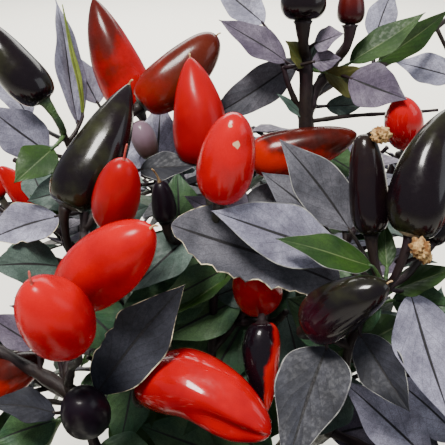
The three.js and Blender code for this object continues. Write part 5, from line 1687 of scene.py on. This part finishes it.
def leaf_colour(root, key):
    sun = np.linalg.norm((root - CROWN_HEART) / CROWN_REACH) + LUCK * (chance(key, 70) - 0.5)
    kinds = SUNNY if sun > IN_SUN else HALF_LIT if sun > HALF_IN_SUN else SHADED
    return leaf_order.index(kinds[int(chance(key, 71) * len(kinds))])


print(len(grown_leaf_finishes), "finishes on the grown leaves")

# %% Values of the grown shoots, and their twigs
TWIG_FINER, GROWN_NODES = 0.9, 0.22  # a twig's radius over that of a near one, and how far its nodes swell
GROWN_PETIOLE_RADII = [0.85, 0.62, 0.55, 0.5]  # along it, in mm
GROWN_STALK_RADII = (1.3, 2.2)  # from the twig to the pod
GROWN_CUP = (4.6, 3.0)  # its radius and its height in mm
GROWN_ARCH, GROWN_FOLD = 0.13, 0.2  # in place of LEAF_ARCH and LEAF_FOLD
GROWN_WIDTHS = (0.85, 1.15)  # of LEAF_SLIMNESS, least and most
FACING_OUT, FACING_CHANCE = 0.3, 0.5  # how much a leaf turns from the sky to the outside, and to any side
POD_BLUNT = (1.3, 2.5)  # how full it is towards its tip, least and most
POD_BOW = (-1, 1)  # mm to the side, least and most


def put_grown_wood(heap, twigs):
    """The twigs of a shoot. From each fork the first stretch carries on from the one below."""
    numbered = {twig["number"]: twig for twig in twigs}
    for twig in twigs:
        if twig["number"] > 1 and twig["number"] % 2 == 0:
            continue
        chain, after = [twig], numbered.get(2 * twig["number"])
        while after:
            chain.append(after)
            after = numbered.get(2 * after["number"])
        line = smooth([twig["from"], *(part["to"] for part in chain)], 6 * len(chain))
        first, last = chain[0]["fork"], chain[-1]["fork"] + 1
        radii = between(SHOOT_RADII, np.linspace(first, last, len(line)) / (FORKS + 1))
        swollen = 1 + GROWN_NODES * np.exp(-((np.arange(len(line)) % 6 - 3) ** 2 - 9) ** 2 / 12)
        radii = radii * swollen * TWIG_FINER
        put_stick(heap, line, radii, sides=7, slot=GROWN_TWIG, knots=0.05, key=twig["number"])


print("grown twigs ready to build")

# %% Build the grown shoots
def build_grown_shoot(name):
    twigs = []
    grow_twigs(name, foot_of[name], lean_of[name], INTERNODE, 1, 0, twigs)
    pods = grow_pods(name, twigs)
    grow_side_shoots(name, twigs)
    leaves = grow_leaves(name, twigs, pods)
    wood, blades, fruit = Heap(), Heap(), Heap()
    put_grown_wood(wood, twigs)
    for leaf in leaves:
        root, tip, way, key = leaf["root"], leaf["tip"], leaf["way"], leaf["key"]
        foot = root + (tip - root) * PETIOLE_SHARE
        line = [root - way * 0.6, (root + foot) / 2 + UP * 0.3, foot, foot + way * 1.2]
        put_stick(wood, line, GROWN_PETIOLE_RADII, sides=5, slot=GROWN_PETIOLE)
        aside = np.array([chance(key, 6) - 0.5, chance(key, 7) - 0.5, 0])
        facing = UP + FACING_OUT * unit(root - CROWN_HEART) + FACING_CHANCE * aside
        width = np.linalg.norm(tip - root) * LEAF_SLIMNESS * between(GROWN_WIDTHS, chance(key, 8))
        corners, uvs = shape_leaf(far_leaf, foot, tip, width, facing, key, arch=GROWN_ARCH, fold=GROWN_FOLD)
        colour = leaf_colour(root, key)
        blades.put(far_leaf, corners, uvs, np.array([colour, DARK_RIB, colour])[far_leaf.slots])
    for pod in pods:
        base, tip, size, key = pod["base"], pod["tip"], pod["size"], pod["key"]
        blunt, bow = between(POD_BLUNT, chance(key, 61)), between(POD_BOW, chance(key, 62))
        corners = shape_pod(far_pod, base, tip, SMALL_POD[1] * size, blunt, bow=bow, key=key)
        fruit.put(far_pod, corners, far_pod_uvs, int(chance(key, 63) * len(POD_KINDS)))
        line = stalk_line(pod["from"], base, tip)
        put_stick(wood, line, taper(GROWN_STALK_RADII, len(line)), sides=7, slot=GROWN_PETIOLE)
        put_calyx(wood, base, tip, GROWN_CUP[0] * size, GROWN_CUP[1], key, GROWN_CALYX)
    node = f"shoot_{name}"
    wood.piece(f"{node}_twigs", grown_wood_finishes, "grain", "foliage", [node])
    blades.piece(f"{node}_leaves", grown_leaf_finishes, "blade", "foliage", [node])
    if pods:
        fruit.piece(f"{node}_pods", [pod_finishes[kind] for kind in POD_KINDS], "pod", "ripe_fruit", [node])
    return len(twigs), len(leaves), len(pods)


counts = {name: build_grown_shoot(name) for name in GROWN_SHOOTS}
for name, (twigs, leaves, pods) in counts.items():
    print(name, "has", twigs, "stretches,", leaves, "leaves and", pods, "pods")
